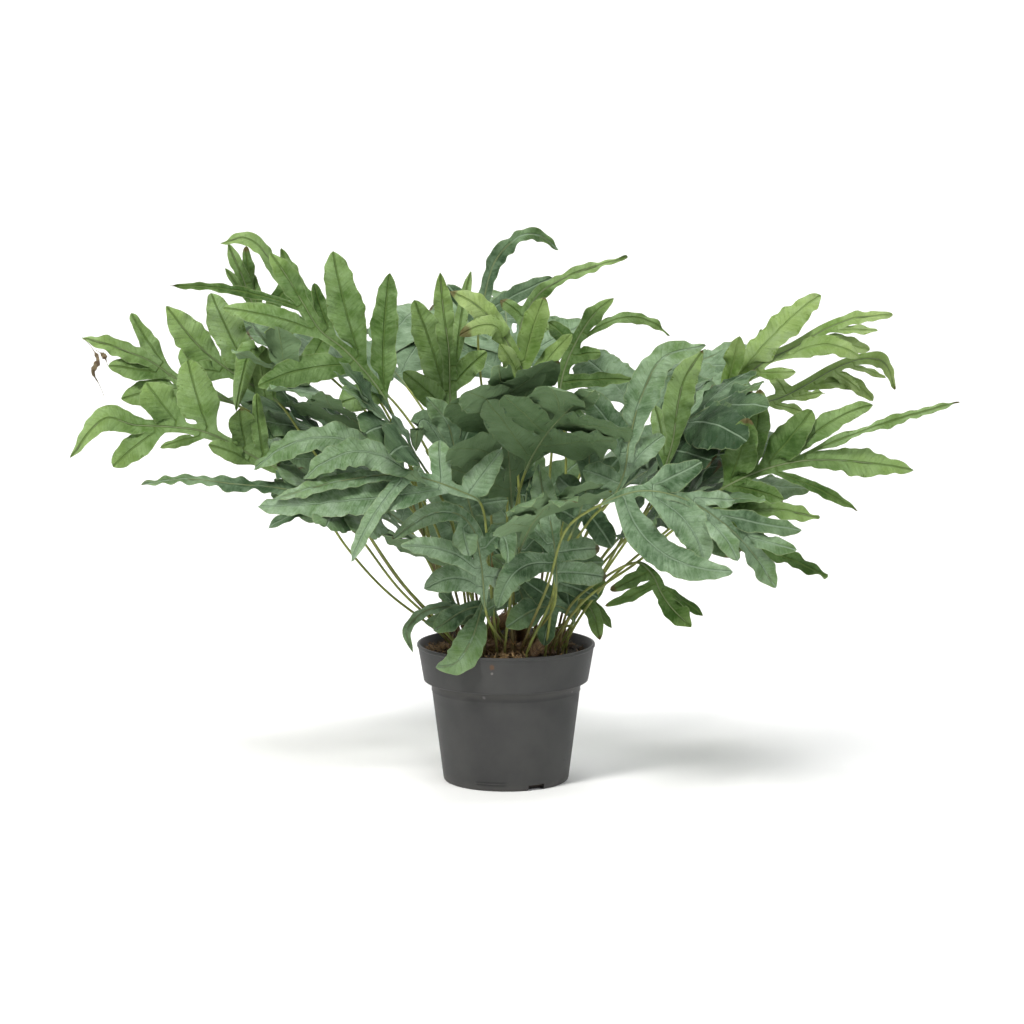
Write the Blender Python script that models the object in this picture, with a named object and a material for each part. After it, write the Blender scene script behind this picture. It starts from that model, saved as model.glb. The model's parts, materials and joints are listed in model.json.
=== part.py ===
"""Blue star fern (Phlebodium aureum) in a grower's pot, one named object for each physical piece.

Metres, +Z up, the pot's flat base on z = 0 around the origin, and the photograph looking along +Y.
Every frond is one closed body: a stalk that stands in a plain hole in the soil, and a blade cut to
its rib in waved lobes. Fronds that the photograph shows are drawn through its pixels by the camera
below. The rest are placed by a seeded rule, and every lobe is bent clear of what is already there.
"""
import math
import random

import bmesh
import bpy
from mathutils import Matrix, Vector
from mathutils.bvhtree import BVHTree

# The camera that the photograph's pixels are read through
CAMERA_PLACE = Vector((0.0064, -3.2, 0.73))
CAMERA_PITCH = math.radians(7.86)
FOCAL_PIXELS = 3045
IMAGE_CENTRE = (512, 512)

# The pot, a moulded plastic one with a 0.19 m rim
RIM_RADIUS = 0.0950
COLLAR_FOOT_RADIUS = 0.0880
BODY_TOP_RADIUS = 0.0805
BASE_RADIUS = 0.0668
POT_HEIGHT = 0.1480
COLLAR_HEIGHT = 0.0400
WALL = 0.0020
FLOOR = 0.0030
LIP_HEIGHT = 0.0035
LIP_PROUD = 0.0011
POT_SIDES = 36
DRAIN_WIDTH = 0.0190
DRAIN_HEIGHT = 0.0060
DRAIN_DEGREES = (-61, 29, 119)

# The soil and what creeps over it
GAP = 0.0003
SOIL_TOP = 0.1405
SOIL_BUMP = 0.0022
SOIL_EDGE_RADIUS = 0.0918
SOIL_SIDES = 28
HOLE_DEPTH = 0.0160
HOLE_CLEARANCE = 0.0006
GROOVE_CLEARANCE = 0.0017
RHIZOME_SIDES = 8
RHIZOMES = {
    "rhizome_front": {
        "route": ((-0.046, -0.026, 0.142), (-0.012, -0.036, 0.148), (0.018, -0.024, 0.142)),
        "radius": 0.0075,
    },
    "rhizome_hump": {
        "route": ((-0.024, 0.012, 0.141), (-0.010, 0.001, 0.166), (0.009, 0.004, 0.173),
                  (0.018, 0.030, 0.142)),
        "radius": 0.0080,
    },
    "rhizome_right": {
        "route": ((0.027, -0.050, 0.141), (0.040, -0.020, 0.147), (0.036, 0.012, 0.142)),
        "radius": 0.0070,
    },
}

# The fronds
STALK_RADIUS = 0.0014
STALK_STRAIGHT = 0.0240
WING = 0.0072
VEIN = 0.0007
CLEAR = 0.0004
GRID = 0.0105
FEET_APART = 0.0085
FEET_RADIUS = 0.0680
FERN_SEED = 41

# Fronds read from the photograph. Each has the pixels of its stalk and rib, the depth of the rib's
# start and tip behind the pot's axis, the way that its upper face looks, the width of its end lobe,
# and its lobes: base pixel, tip pixel, width in mm, how far the tip lies behind the base in mm, and
# for a bent lobe a pixel that its middle passes through.
SHOWN = {
    "left_low": {
        "stalk": ((385, 590), (345, 545), (318, 502)),
        "rib": ((300, 480), (262, 461), (208, 433), (172, 427), (135, 425), (104, 419), (70, 458)),
        "depth": (-0.075, -0.105), "face": (0.1, -0.85, 0.5), "width": 27, "taper": 0.9,
        "lobes": (((262, 461), (257, 393), 14, -12), ((238, 448), (240, 408), 26, -15),
                  ((207, 433), (188, 360), 37, 12), ((176, 427), (146, 382), 36, 8),
                  ((250, 456), (208, 445), 20, 22), ((205, 433), (160, 448), 10, -12),
                  ((160, 427), (113, 467), 25, -18)),
    },
    "left_grey": {
        "stalk": ((400, 590), (362, 540)),
        "rib": ((335, 506), (290, 490), (235, 484), (185, 479), (141, 485)),
        "depth": (-0.135, -0.150), "face": (0.0, -0.55, 0.84), "width": 19,
        "lobes": (((320, 500), (276, 470), 18, 50), ((330, 504), (268, 529), 15, -15)),
    },
    "left_upper": {
        "stalk": ((395, 575), (330, 480), (262, 420)),
        "rib": ((235, 404), (205, 391), (175, 378), (150, 361), (112, 346), (82, 337)),
        "depth": (0.0, -0.02), "face": (0.15, -0.8, 0.55), "width": 20,
        "lobes": (((160, 368), (131, 313), 16, 14), ((205, 391), (182, 348), 22, 30),
                  ((160, 368), (108, 366), 24, -10), ((182, 381), (121, 399), 27, -14)),
    },
    "left_broad": {
        "stalk": ((400, 580), (340, 490), (300, 432)),
        "rib": ((278, 402), (252, 385), (226, 368), (198, 345), (166, 306)),
        "depth": (-0.045, -0.055), "face": (0.1, -0.9, 0.42), "width": 33,
        "lobes": (((246, 381), (211, 293), 34, 14), ((272, 398), (262, 345), 26, 18),
                  ((268, 395), (236, 412), 25, -24, (252, 350)), ((226, 368), (180, 372), 22, -14)),
    },
    "left_mid": {
        "stalk": ((430, 560), (415, 480), (398, 428)),
        "rib": ((388, 404), (372, 380), (345, 350), (320, 330), (303, 303), (286, 275), (270, 253)),
        "depth": (-0.100, -0.080), "face": (0.1, -0.9, 0.42), "width": 22,
        "lobes": (((381, 392), (390, 273), 25, 22), ((352, 359), (333, 251), 33, 10),
                  ((322, 331), (314, 283), 14, 12), ((380, 392), (339, 404), 28, -30),
                  ((352, 359), (258, 387), 28, 16, (300, 371)), ((318, 326), (223, 308), 22, -12),
                  ((304, 304), (170, 286), 9, 14, (235, 291))),
    },
    "left_arch": {
        "stalk": ((430, 540), (400, 440), (360, 370)),
        "rib": ((338, 342), (305, 312), (282, 280), (262, 249), (243, 238), (220, 244)),
        "depth": (0.045, 0.060), "face": (0.3, -0.7, 0.6), "width": 18,
        "lobes": (((320, 326), (281, 248), 18, 24), ((310, 316), (262, 340), 20, 10),
                  ((333, 338), (300, 390), 22, -20), ((285, 286), (268, 312), 16, -12)),
    },
    "left_sprig": {
        "stalk": ((425, 540), (380, 430), (300, 350)),
        "rib": ((262, 318), (250, 298), (243, 278), (236, 262), (228, 243)),
        "depth": (0.090, 0.100), "face": (0.1, -0.9, 0.42), "width": 13,
        "lobes": (((245, 284), (246, 246), 11, 10), ((247, 292), (225, 268), 8, -8),
                  ((256, 308), (252, 272), 12, 14)),
    },
    "front_left": {
        "stalk": ((490, 580), (487, 540)),
        "rib": ((480, 502), (460, 491), (430, 480), (400, 474), (345, 480), (305, 490), (272, 500)),
        "depth": (-0.155, -0.190), "face": (0.0, -0.75, 0.66), "width": 17,
        "lobes": (((466, 494), (502, 449), 26, 14, (480, 479)), ((440, 484), (440, 440), 22, 30),
                  ((425, 479), (303, 480), 31, -6, (362, 459)),
                  ((396, 474), (254, 470), 31, 26, (322, 436)),
                  ((440, 484), (257, 507), 33, -14, (345, 502)), ((400, 474), (351, 562), 15, 20)),
    },
    "top_mid": {
        "stalk": ((470, 560), (458, 480)),
        "rib": ((452, 425), (450, 390), (449, 350), (444, 315), (440, 272)),
        "depth": (-0.020, 0.010), "face": (0.0, -0.95, 0.3), "width": 21,
        "lobes": (((450, 390), (414, 300), 30, 16), ((449, 362), (471, 271), 12, 14),
                  ((451, 408), (403, 372), 24, -14), ((450, 378), (487, 352), 22, -20)),
    },
    "centre_yellow": {
        "stalk": ((560, 560), (574, 480)),
        "rib": ((567, 420), (549, 388), (534, 361), (518, 333), (494, 306), (466, 291)),
        "depth": (-0.060, -0.050), "face": (-0.1, -0.85, 0.5), "width": 24,
        "lobes": (((543, 378), (572, 334), 17, 14), ((531, 356), (545, 297), 25, 10),
                  ((522, 340), (459, 336), 21, -14, (492, 326)), ((536, 365), (499, 344), 17, -16),
                  ((552, 394), (513, 379), 15, -10), ((556, 402), (572, 352), 17, 26)),
    },
    "centre_arch": {
        "stalk": ((492, 540), (486, 430)),
        "rib": ((478, 335), (486, 290), (497, 258), (521, 236), (540, 236), (559, 250)),
        "depth": (0.070, 0.090), "face": (-0.4, -0.8, 0.4), "width": 17,
        "lobes": (((482, 308), (553, 278), 19, -20), ((479, 328), (447, 284), 16, 22)),
    },
    "centre_wavy": {
        "stalk": ((520, 540), (516, 420)),
        "rib": ((520, 330), (537, 296), (560, 280), (590, 268), (628, 257)),
        "depth": (0.040, 0.050), "face": (-0.2, -0.8, 0.55), "width": 13,
        "lobes": (((524, 320), (548, 330), 18, -14), ((521, 330), (500, 300), 14, 22)),
    },
    "back_right": {
        "stalk": ((560, 560), (566, 450)),
        "rib": ((560, 395), (566, 365), (580, 335), (596, 312), (614, 298)),
        "depth": (0.030, 0.060), "face": (0.0, -0.8, 0.6), "width": 17,
        "lobes": (((580, 335), (670, 336), 12, 20, (630, 318)), ((570, 355), (601, 353), 14, -14),
                  ((563, 378), (632, 380), 15, 12), ((561, 390), (605, 420), 18, -14),
                  ((574, 347), (548, 322), 18, 20)),
    },
    "front_up": {
        "stalk": ((560, 570), (590, 520)),
        "rib": ((614, 496), (625, 470), (629, 442), (641, 398), (663, 358), (706, 346)),
        "depth": (-0.190, -0.150), "face": (-0.2, -0.9, 0.35), "width": 31,
        "lobes": (((627, 456), (578, 389), 28, -12, (607, 420)), ((622, 480), (583, 470), 24, 24),
                  ((627, 462), (664, 436), 22, 20)),
    },
    "front_right": {
        "stalk": ((548, 585), (566, 530)),
        "rib": ((600, 505), (640, 491), (682, 498), (722, 522), (752, 552), (776, 588)),
        "depth": (-0.235, -0.215), "face": (0.0, -0.82, 0.56), "width": 23,
        "lobes": (((648, 491), (702, 462), 25, 16), ((690, 502), (735, 500), 18, 26),
                  ((722, 522), (802, 530), 19, 14), ((738, 538), (797, 550), 17, -8),
                  ((655, 491), (704, 564), 35, -10, (688, 524)),
                  ((618, 498), (733, 572), 31, -22, (662, 555)),
                  ((712, 515), (738, 561), 20, -14), ((615, 499), (607, 541), 24, 10)),
    },
    "right_upper": {
        "stalk": ((610, 560), (660, 470), (690, 430)),
        "rib": ((712, 408), (738, 384), (764, 362), (795, 347), (826, 329), (856, 318), (893, 315)),
        "depth": (-0.030, -0.010), "face": (-0.2, -0.8, 0.55), "width": 14,
        "lobes": (((742, 381), (821, 295), 29, 14, (783, 327)), ((726, 395), (740, 336), 20, -16),
                  ((832, 326), (878, 331), 10, -8), ((812, 337), (870, 350), 17, 10),
                  ((785, 352), (860, 357), 23, -12, (825, 347)),
                  ((756, 369), (796, 372), 12, -16, (778, 374)),
                  ((716, 404), (762, 329), 9, 26)),
    },
    "right_straps": {
        "stalk": ((590, 580), (640, 520)),
        "rib": ((664, 470), (673, 440), (677, 410), (685, 378), (703, 350)),
        "depth": (-0.090, -0.085), "face": (0.1, -0.95, 0.3), "width": 29,
        "lobes": (((672, 446), (721, 358), 22, -8), ((668, 456), (655, 405), 18, 16),
                  ((667, 462), (716, 425), 22, 20)),
    },
    "right_mid": {
        "stalk": ((620, 550), (680, 470), (722, 425)),
        "rib": ((745, 408), (780, 398), (806, 385), (834, 369), (862, 359), (884, 362), (895, 390)),
        "depth": (0.010, 0.030), "face": (-0.2, -0.75, 0.62), "width": 15,
        "lobes": (((852, 362), (886, 378), 9, -12), ((832, 370), (860, 391), 12, -16),
                  ((812, 381), (873, 401), 19, -8, (848, 381)), ((794, 391), (826, 393), 10, -10),
                  ((775, 400), (803, 412), 12, -14), ((752, 406), (736, 432), 23, -16),
                  ((790, 394), (770, 372), 14, 18)),
    },
    "right_low": {
        "stalk": ((600, 590), (650, 545), (695, 508)),
        "rib": ((720, 490), (752, 474), (784, 464), (815, 460), (860, 462), (914, 470)),
        "depth": (-0.125, -0.120), "face": (-0.05, -0.85, 0.52), "width": 28,
        "lobes": (((726, 487), (748, 418), 32, -12), ((742, 479), (760, 389), 24, 20),
                  ((764, 470), (812, 410), 30, 8), ((795, 462), (873, 405), 20, 14, (830, 424)),
                  ((806, 461), (960, 402), 10, -10, (880, 426)), ((735, 482), (784, 500), 20, -12),
                  ((775, 466), (858, 511), 11, -18)),
    },
    "right_lower": {
        "stalk": ((585, 600), (640, 560)),
        "rib": ((676, 528), (705, 515), (740, 511), (780, 510), (820, 518)),
        "depth": (-0.160, -0.165), "face": (0.0, -0.7, 0.7), "width": 23,
        "lobes": (((684, 524), (700, 490), 20, 22), ((708, 515), (768, 540), 18, -10),
                  ((690, 521), (828, 577), 20, -14)),
    },
    "right_drooping": {
        "stalk": ((572, 608), (606, 580)),
        "rib": ((640, 563), (655, 575), (663, 592), (674, 608), (694, 628)),
        "depth": (-0.130, -0.150), "face": (0.3, -0.8, 0.5), "width": 24,
        "lobes": (((660, 586), (605, 606), 10, -10), ((668, 600), (703, 616), 11, 8),
                  ((650, 570), (610, 590), 13, 14), ((664, 594), (666, 630), 15, -12)),
    },
    "rim_leaf": {
        "stalk": (),
        "rib": ((487, 600), (482, 616), (474, 640), (458, 664), (438, 668)),
        "depth": (-0.070, -0.112), "face": (0.1, -0.75, 0.65), "width": 31,
        "lobes": (((484, 606), (508, 600), 16, 12),),
    },
    "rim_curl": {
        "stalk": (),
        "rib": ((470, 612), (452, 607), (425, 611), (407, 630), (413, 653)),
        "depth": (-0.050, -0.085), "face": (0.2, -0.6, 0.77), "width": 11,
        "lobes": (((450, 607), (440, 590), 12, 8),),
    },
    "front_spear": {
        "stalk": ((549, 612),),
        "rib": ((554, 585), (553, 555), (548, 522), (541, 495), (536, 464)),
        "depth": (-0.120, -0.140), "face": (0.1, -0.97, 0.2), "width": 25,
        "lobes": (((553, 566), (498, 608), 25, -16, (516, 572)), ((553, 553), (600, 548), 22, 16),
                  ((552, 545), (514, 557), 20, 12, (522, 524)), ((554, 578), (607, 577), 23, 10)),
    },
    "front_low": {
        "stalk": (),
        "rib": ((489, 606), (487, 580), (484, 555), (478, 530), (462, 513), (435, 513), (396, 538)),
        "depth": (-0.100, -0.150), "face": (0.0, -0.85, 0.52), "width": 19,
        "lobes": (((482, 545), (508, 563), 25, -14, (503, 536)), ((485, 566), (401, 546), 21, -8, (442, 550)),
                  ((468, 518), (470, 556), 22, -18), ((487, 587), (424, 589), 27, -4, (455, 578)),
                  ((486, 575), (520, 588), 20, 10), ((478, 530), (512, 512), 20, 16)),
    },
    "mid_blue": {
        "stalk": ((492, 590), (484, 550)),
        "rib": ((474, 520), (464, 485), (456, 455), (447, 422), (426, 397)),
        "depth": (-0.090, -0.105), "face": (0.0, -0.9, 0.42), "width": 24,
        "lobes": (((458, 462), (416, 452), 21, -12, (424, 420)), ((454, 448), (484, 402), 32, 12),
                  ((462, 478), (504, 450), 24, 10), ((468, 500), (430, 478), 22, -14),
                  ((470, 508), (508, 500), 24, 12)),
    },
    "mid_right": {
        "stalk": ((556, 600), (566, 560)),
        "rib": ((577, 532), (588, 502), (594, 470), (591, 438), (571, 403)),
        "depth": (-0.130, -0.120), "face": (0.05, -0.92, 0.38), "width": 28,
        "lobes": (((590, 495), (619, 458), 24, 14), ((585, 510), (612, 548), 24, -8),
                  ((588, 502), (558, 476), 22, 16), ((580, 524), (554, 508), 18, -10)),
    },
    "front_right_small": {
        "stalk": ((535, 618),),
        "rib": ((548, 600), (558, 582), (566, 562), (572, 540), (568, 515)),
        "depth": (-0.060, -0.090), "face": (0.0, -0.9, 0.4), "width": 20,
        "lobes": (((560, 578), (598, 598), 16, -10), ((566, 560), (604, 562), 20, 12),
                  ((569, 550), (540, 528), 18, 10)),
    },
    "low_left": {
        "stalk": (),
        "rib": ((500, 616), (488, 606), (466, 610), (436, 630)),
        "depth": (-0.052, -0.078), "face": (0.1, -0.8, 0.6), "width": 24,
        "lobes": (((486, 606), (444, 590), 22, 8), ((480, 607), (424, 622), 19, -6),
                  ((494, 610), (503, 578), 18, 12), ((488, 606), (478, 640), 20, 6)),
    },
    "low_right": {
        "stalk": (),
        "rib": ((570, 622), (558, 606), (532, 608), (502, 626)),
        "depth": (-0.045, -0.070), "face": (0.0, -0.8, 0.6), "width": 28,
        "lobes": (((548, 605), (520, 578), 22, 16), ((552, 605), (543, 650), 18, -4),
                  ((562, 610), (566, 572), 20, 10)),
    },
    "low_mid": {
        "stalk": (),
        "rib": ((527, 622), (524, 604), (518, 586), (508, 568), (492, 556)),
        "depth": (0.000, -0.020), "face": (0.0, -0.9, 0.42), "width": 24,
        "lobes": (((523, 600), (556, 590), 22, 10), ((522, 596), (478, 606), 24, -6),
                  ((516, 582), (545, 560), 22, 10), ((514, 578), (470, 580), 22, 8)),
    },
    "rim_right": {
        "stalk": (),
        "rib": ((570, 618), (580, 603), (592, 611), (600, 640)),
        "depth": (-0.020, -0.050), "face": (0.0, -0.8, 0.6), "width": 15,
        "lobes": (((578, 605), (604, 578), 20, 10), ((588, 607), (612, 628), 10, 4)),
    },
}

# Leaf colours: blue-green inside, green outside and fresh yellow-green in the youngest
BLUE_LEAF = (0.140, 0.220, 0.150)
GREEN_LEAF = (0.160, 0.270, 0.085)
FRESH_LEAF = (0.230, 0.350, 0.080)
GREEN_FRONDS = ("left_low", "left_upper", "left_broad", "left_mid", "left_arch", "left_sprig", "top_mid",
                "centre_wavy", "back_right", "right_low", "right_lower", "right_drooping", "rim_right")
FRESH_FRONDS = ("centre_yellow", "right_upper", "right_straps", "right_mid", "rim_leaf")

# What the foliage covers in the photograph, so that hidden fronds don't show outside it
FOLIAGE = ((262, 505), (275, 470), (215, 455), (225, 400), (215, 345), (235, 305), (262, 290), (300, 290),
           (350, 300), (372, 325), (398, 345), (412, 305), (440, 290), (470, 300), (505, 290), (540, 300),
           (560, 320), (600, 325), (604, 395), (625, 430), (660, 400), (668, 355), (705, 348), (740, 340),
           (765, 352), (770, 400), (800, 440), (868, 462), (850, 478), (795, 500), (802, 530), (775, 555),
           (740, 572), (700, 572), (655, 565), (600, 592), (560, 616), (430, 616), (425, 580), (400, 548),
           (345, 537), (290, 527))

# The hidden fronds: azimuth of each in degrees (90 is straight back), length of stalk and blade in
# m, lean of the stalk from upright and of the blade's end from upright, in degrees
HIDDEN = (
    (92, 0.32, 0.25, 18, 78), (124, 0.29, 0.26, 32, 90), (56, 0.29, 0.26, 32, 90),
    (152, 0.32, 0.26, 30, 76), (30, 0.32, 0.26, 30, 76), (90, 0.22, 0.25, 46, 98),
    (140, 0.21, 0.24, 54, 96), (42, 0.21, 0.24, 54, 96), (175, 0.24, 0.26, 34, 74),
    (5, 0.24, 0.26, 34, 74), (200, 0.22, 0.22, 26, 66), (338, 0.22, 0.22, 26, 66),
    (265, 0.19, 0.20, 16, 56), (236, 0.20, 0.20, 26, 64), (300, 0.20, 0.20, 26, 64),
    (74, 0.06, 0.17, 10, 52), (112, 0.05, 0.16, 16, 66), (150, 0.13, 0.20, 46, 92),
    (18, 0.16, 0.20, 50, 94), (250, 0.14, 0.17, 30, 84), (290, 0.14, 0.17, 30, 84),
    (216, 0.15, 0.19, 42, 88), (324, 0.15, 0.19, 42, 88),
)


def clear_scene():
    for old in list(bpy.data.objects):
        bpy.data.objects.remove(old, do_unlink=True)


def material(name, colour, roughness):
    made = bpy.data.materials.new(name)
    made.use_nodes = True
    shader = made.node_tree.nodes["Principled BSDF"]
    shader.inputs["Base Color"].default_value = (*colour, 1.0)
    shader.inputs["Roughness"].default_value = roughness
    shader.inputs["Metallic"].default_value = 0.0
    made.diffuse_color = (*colour, 1.0)
    return made


def make_object(name, points, faces, colour, roughness, smooth=False):
    """A named object with its own material from points and faces, its normals made to look outwards."""
    mesh = bpy.data.meshes.new(name)
    mesh.from_pydata([tuple(p) for p in points], [], faces)
    shape = bmesh.new()
    shape.from_mesh(mesh)
    bmesh.ops.recalc_face_normals(shape, faces=shape.faces)
    shape.to_mesh(mesh)
    shape.free()
    mesh.polygons.foreach_set("use_smooth", [smooth] * len(mesh.polygons))
    made = bpy.data.objects.new(name, mesh)
    made.data.materials.append(material(name, colour, roughness))
    bpy.context.scene.collection.objects.link(made)
    return made


def sight(pixel, depth):
    """The point at a depth behind the pot's axis that the camera sees at a pixel."""
    forward = Vector((0.0, math.cos(CAMERA_PITCH), -math.sin(CAMERA_PITCH)))
    up = Vector((0.0, math.sin(CAMERA_PITCH), math.cos(CAMERA_PITCH)))
    across = (pixel[0] - IMAGE_CENTRE[0]) / FOCAL_PIXELS
    rise = (IMAGE_CENTRE[1] - pixel[1]) / FOCAL_PIXELS
    ray = forward + Vector((across, 0.0, 0.0)) + up * rise
    return CAMERA_PLACE + ray * ((depth - CAMERA_PLACE.y) / ray.y)


def pixel_of(point):
    """Where the camera sees a point."""
    forward = Vector((0.0, math.cos(CAMERA_PITCH), -math.sin(CAMERA_PITCH)))
    up = Vector((0.0, math.sin(CAMERA_PITCH), math.cos(CAMERA_PITCH)))
    from_camera = point - CAMERA_PLACE
    scale = FOCAL_PIXELS / from_camera.dot(forward)
    return (IMAGE_CENTRE[0] + from_camera.x * scale, IMAGE_CENTRE[1] - from_camera.dot(up) * scale)


def in_foliage(point):
    """Whether the camera sees a point inside the photograph's foliage."""
    x, y = pixel_of(point)
    inside = False
    for (x0, y0), (x1, y1) in zip(FOLIAGE, FOLIAGE[1:] + FOLIAGE[:1]):
        if (y0 > y) != (y1 > y) and x < x0 + (y - y0) * (x1 - x0) / (y1 - y0):
            inside = not inside
    return inside


def square_to(vector, along):
    """The unit part of a vector that is square to a direction."""
    rest = vector - along * vector.dot(along)
    return rest.normalized() if rest.length > 1e-6 else along.orthogonal().normalized()


class Path:
    """A smooth curve through points, measured along its length."""

    def __init__(self, points, pieces=10):
        points = [Vector(p) for p in points]
        gaps = [(b - a).length for a, b in zip(points, points[1:])]
        slopes = [(points[1] - points[0]) / gaps[0]]
        for i in range(1, len(points) - 1):
            slopes.append((points[i + 1] - points[i - 1]) / (gaps[i] + gaps[i - 1]))
        slopes.append((points[-1] - points[-2]) / gaps[-1])
        self.places = [points[0]]
        for i, gap in enumerate(gaps):
            for k in range(1, pieces + 1):
                t = k / pieces
                self.places.append(
                    points[i] * (2 * t**3 - 3 * t**2 + 1) + slopes[i] * gap * (t**3 - 2 * t**2 + t)
                    + points[i + 1] * (3 * t**2 - 2 * t**3) + slopes[i + 1] * gap * (t**3 - t**2))
        self.marks = [0.0]
        for a, b in zip(self.places, self.places[1:]):
            self.marks.append(self.marks[-1] + (b - a).length)
        self.knots = [self.marks[i * pieces] for i in range(len(points))]
        self.length = self.marks[-1]

    def at(self, distance):
        distance = min(max(distance, 0.0), self.length)
        low, high = 0, len(self.marks) - 1
        while high - low > 1:
            middle = (low + high) // 2
            if self.marks[middle] <= distance:
                low = middle
            else:
                high = middle
        share = (distance - self.marks[low]) / (self.marks[high] - self.marks[low])
        return self.places[low].lerp(self.places[high], share)

    def heading(self, distance):
        reach = 0.003
        return (self.at(distance + reach) - self.at(distance - reach)).normalized()


class Body:
    """Points and triangles of one closed piece, and a tree that finds what it crosses."""

    def __init__(self):
        self.points = []
        self.faces = []

    def add(self, point):
        self.points.append(point)
        return len(self.points) - 1

    def half(self, edge, next_edge, top, next_top, under, next_under):
        """The strip between an edge and the vein, with triangles alike on both faces."""
        self.faces += [(edge, top, next_top), (edge, next_top, next_edge)]
        self.faces += [(edge, next_under, under), (edge, next_edge, next_under)]

    def join(self, ring, after):
        self.half(ring[0], after[0], ring[1], after[1], ring[3], after[3])
        self.half(ring[2], after[2], ring[1], after[1], ring[3], after[3])

    def close(self, ring, tip):
        left, top, right, under = ring
        self.faces += [(left, top, tip), (top, right, tip), (left, tip, under), (under, tip, right)]

    def cap(self, ring):
        self.faces += [(ring[0], ring[1], ring[2]), (ring[0], ring[2], ring[3])]

    def ready(self):
        self.tree = BVHTree.FromPolygons(self.points, self.faces)
        self.low = [min(p[i] for p in self.points) for i in range(3)]
        self.high = [max(p[i] for p in self.points) for i in range(3)]
        return self

    def crosses(self, other):
        """Whether two bodies cross anywhere but at corners that they share."""
        if any(self.low[i] > other.high[i] or other.low[i] > self.high[i] for i in range(3)):
            return False
        for mine, theirs in self.tree.overlap(other.tree):
            corners = [self.points[k] for k in self.faces[mine]]
            shared = any((other.points[k] - c).length < 1e-7 for k in other.faces[theirs] for c in corners)
            if not shared:
                return True
        return False


def lobe_profile(t):
    """Half width of a lobe from its base to its tip, as a share of its widest."""
    if t < 0.38:
        return 0.72 + 0.28 * math.sin(math.pi / 2 * t / 0.38)
    return max(0.0, 1.0 - ((t - 0.38) / 0.62) ** 2.2) ** 0.75


class Lobe:
    """One lobe: where it leaves the rib, its tip, and how it bends and waves."""

    def __init__(self, side, start, end, tip, via, width, arch, bow, phase):
        self.side = side
        self.via = via
        self.start = start
        self.end = end
        self.tip = tip
        self.width = width
        self.arch = arch
        self.bow = bow
        self.phase = phase
        self.body = None

    def segments(self, span, most):
        return max(3, min(most, round(span / 0.021)))


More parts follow.
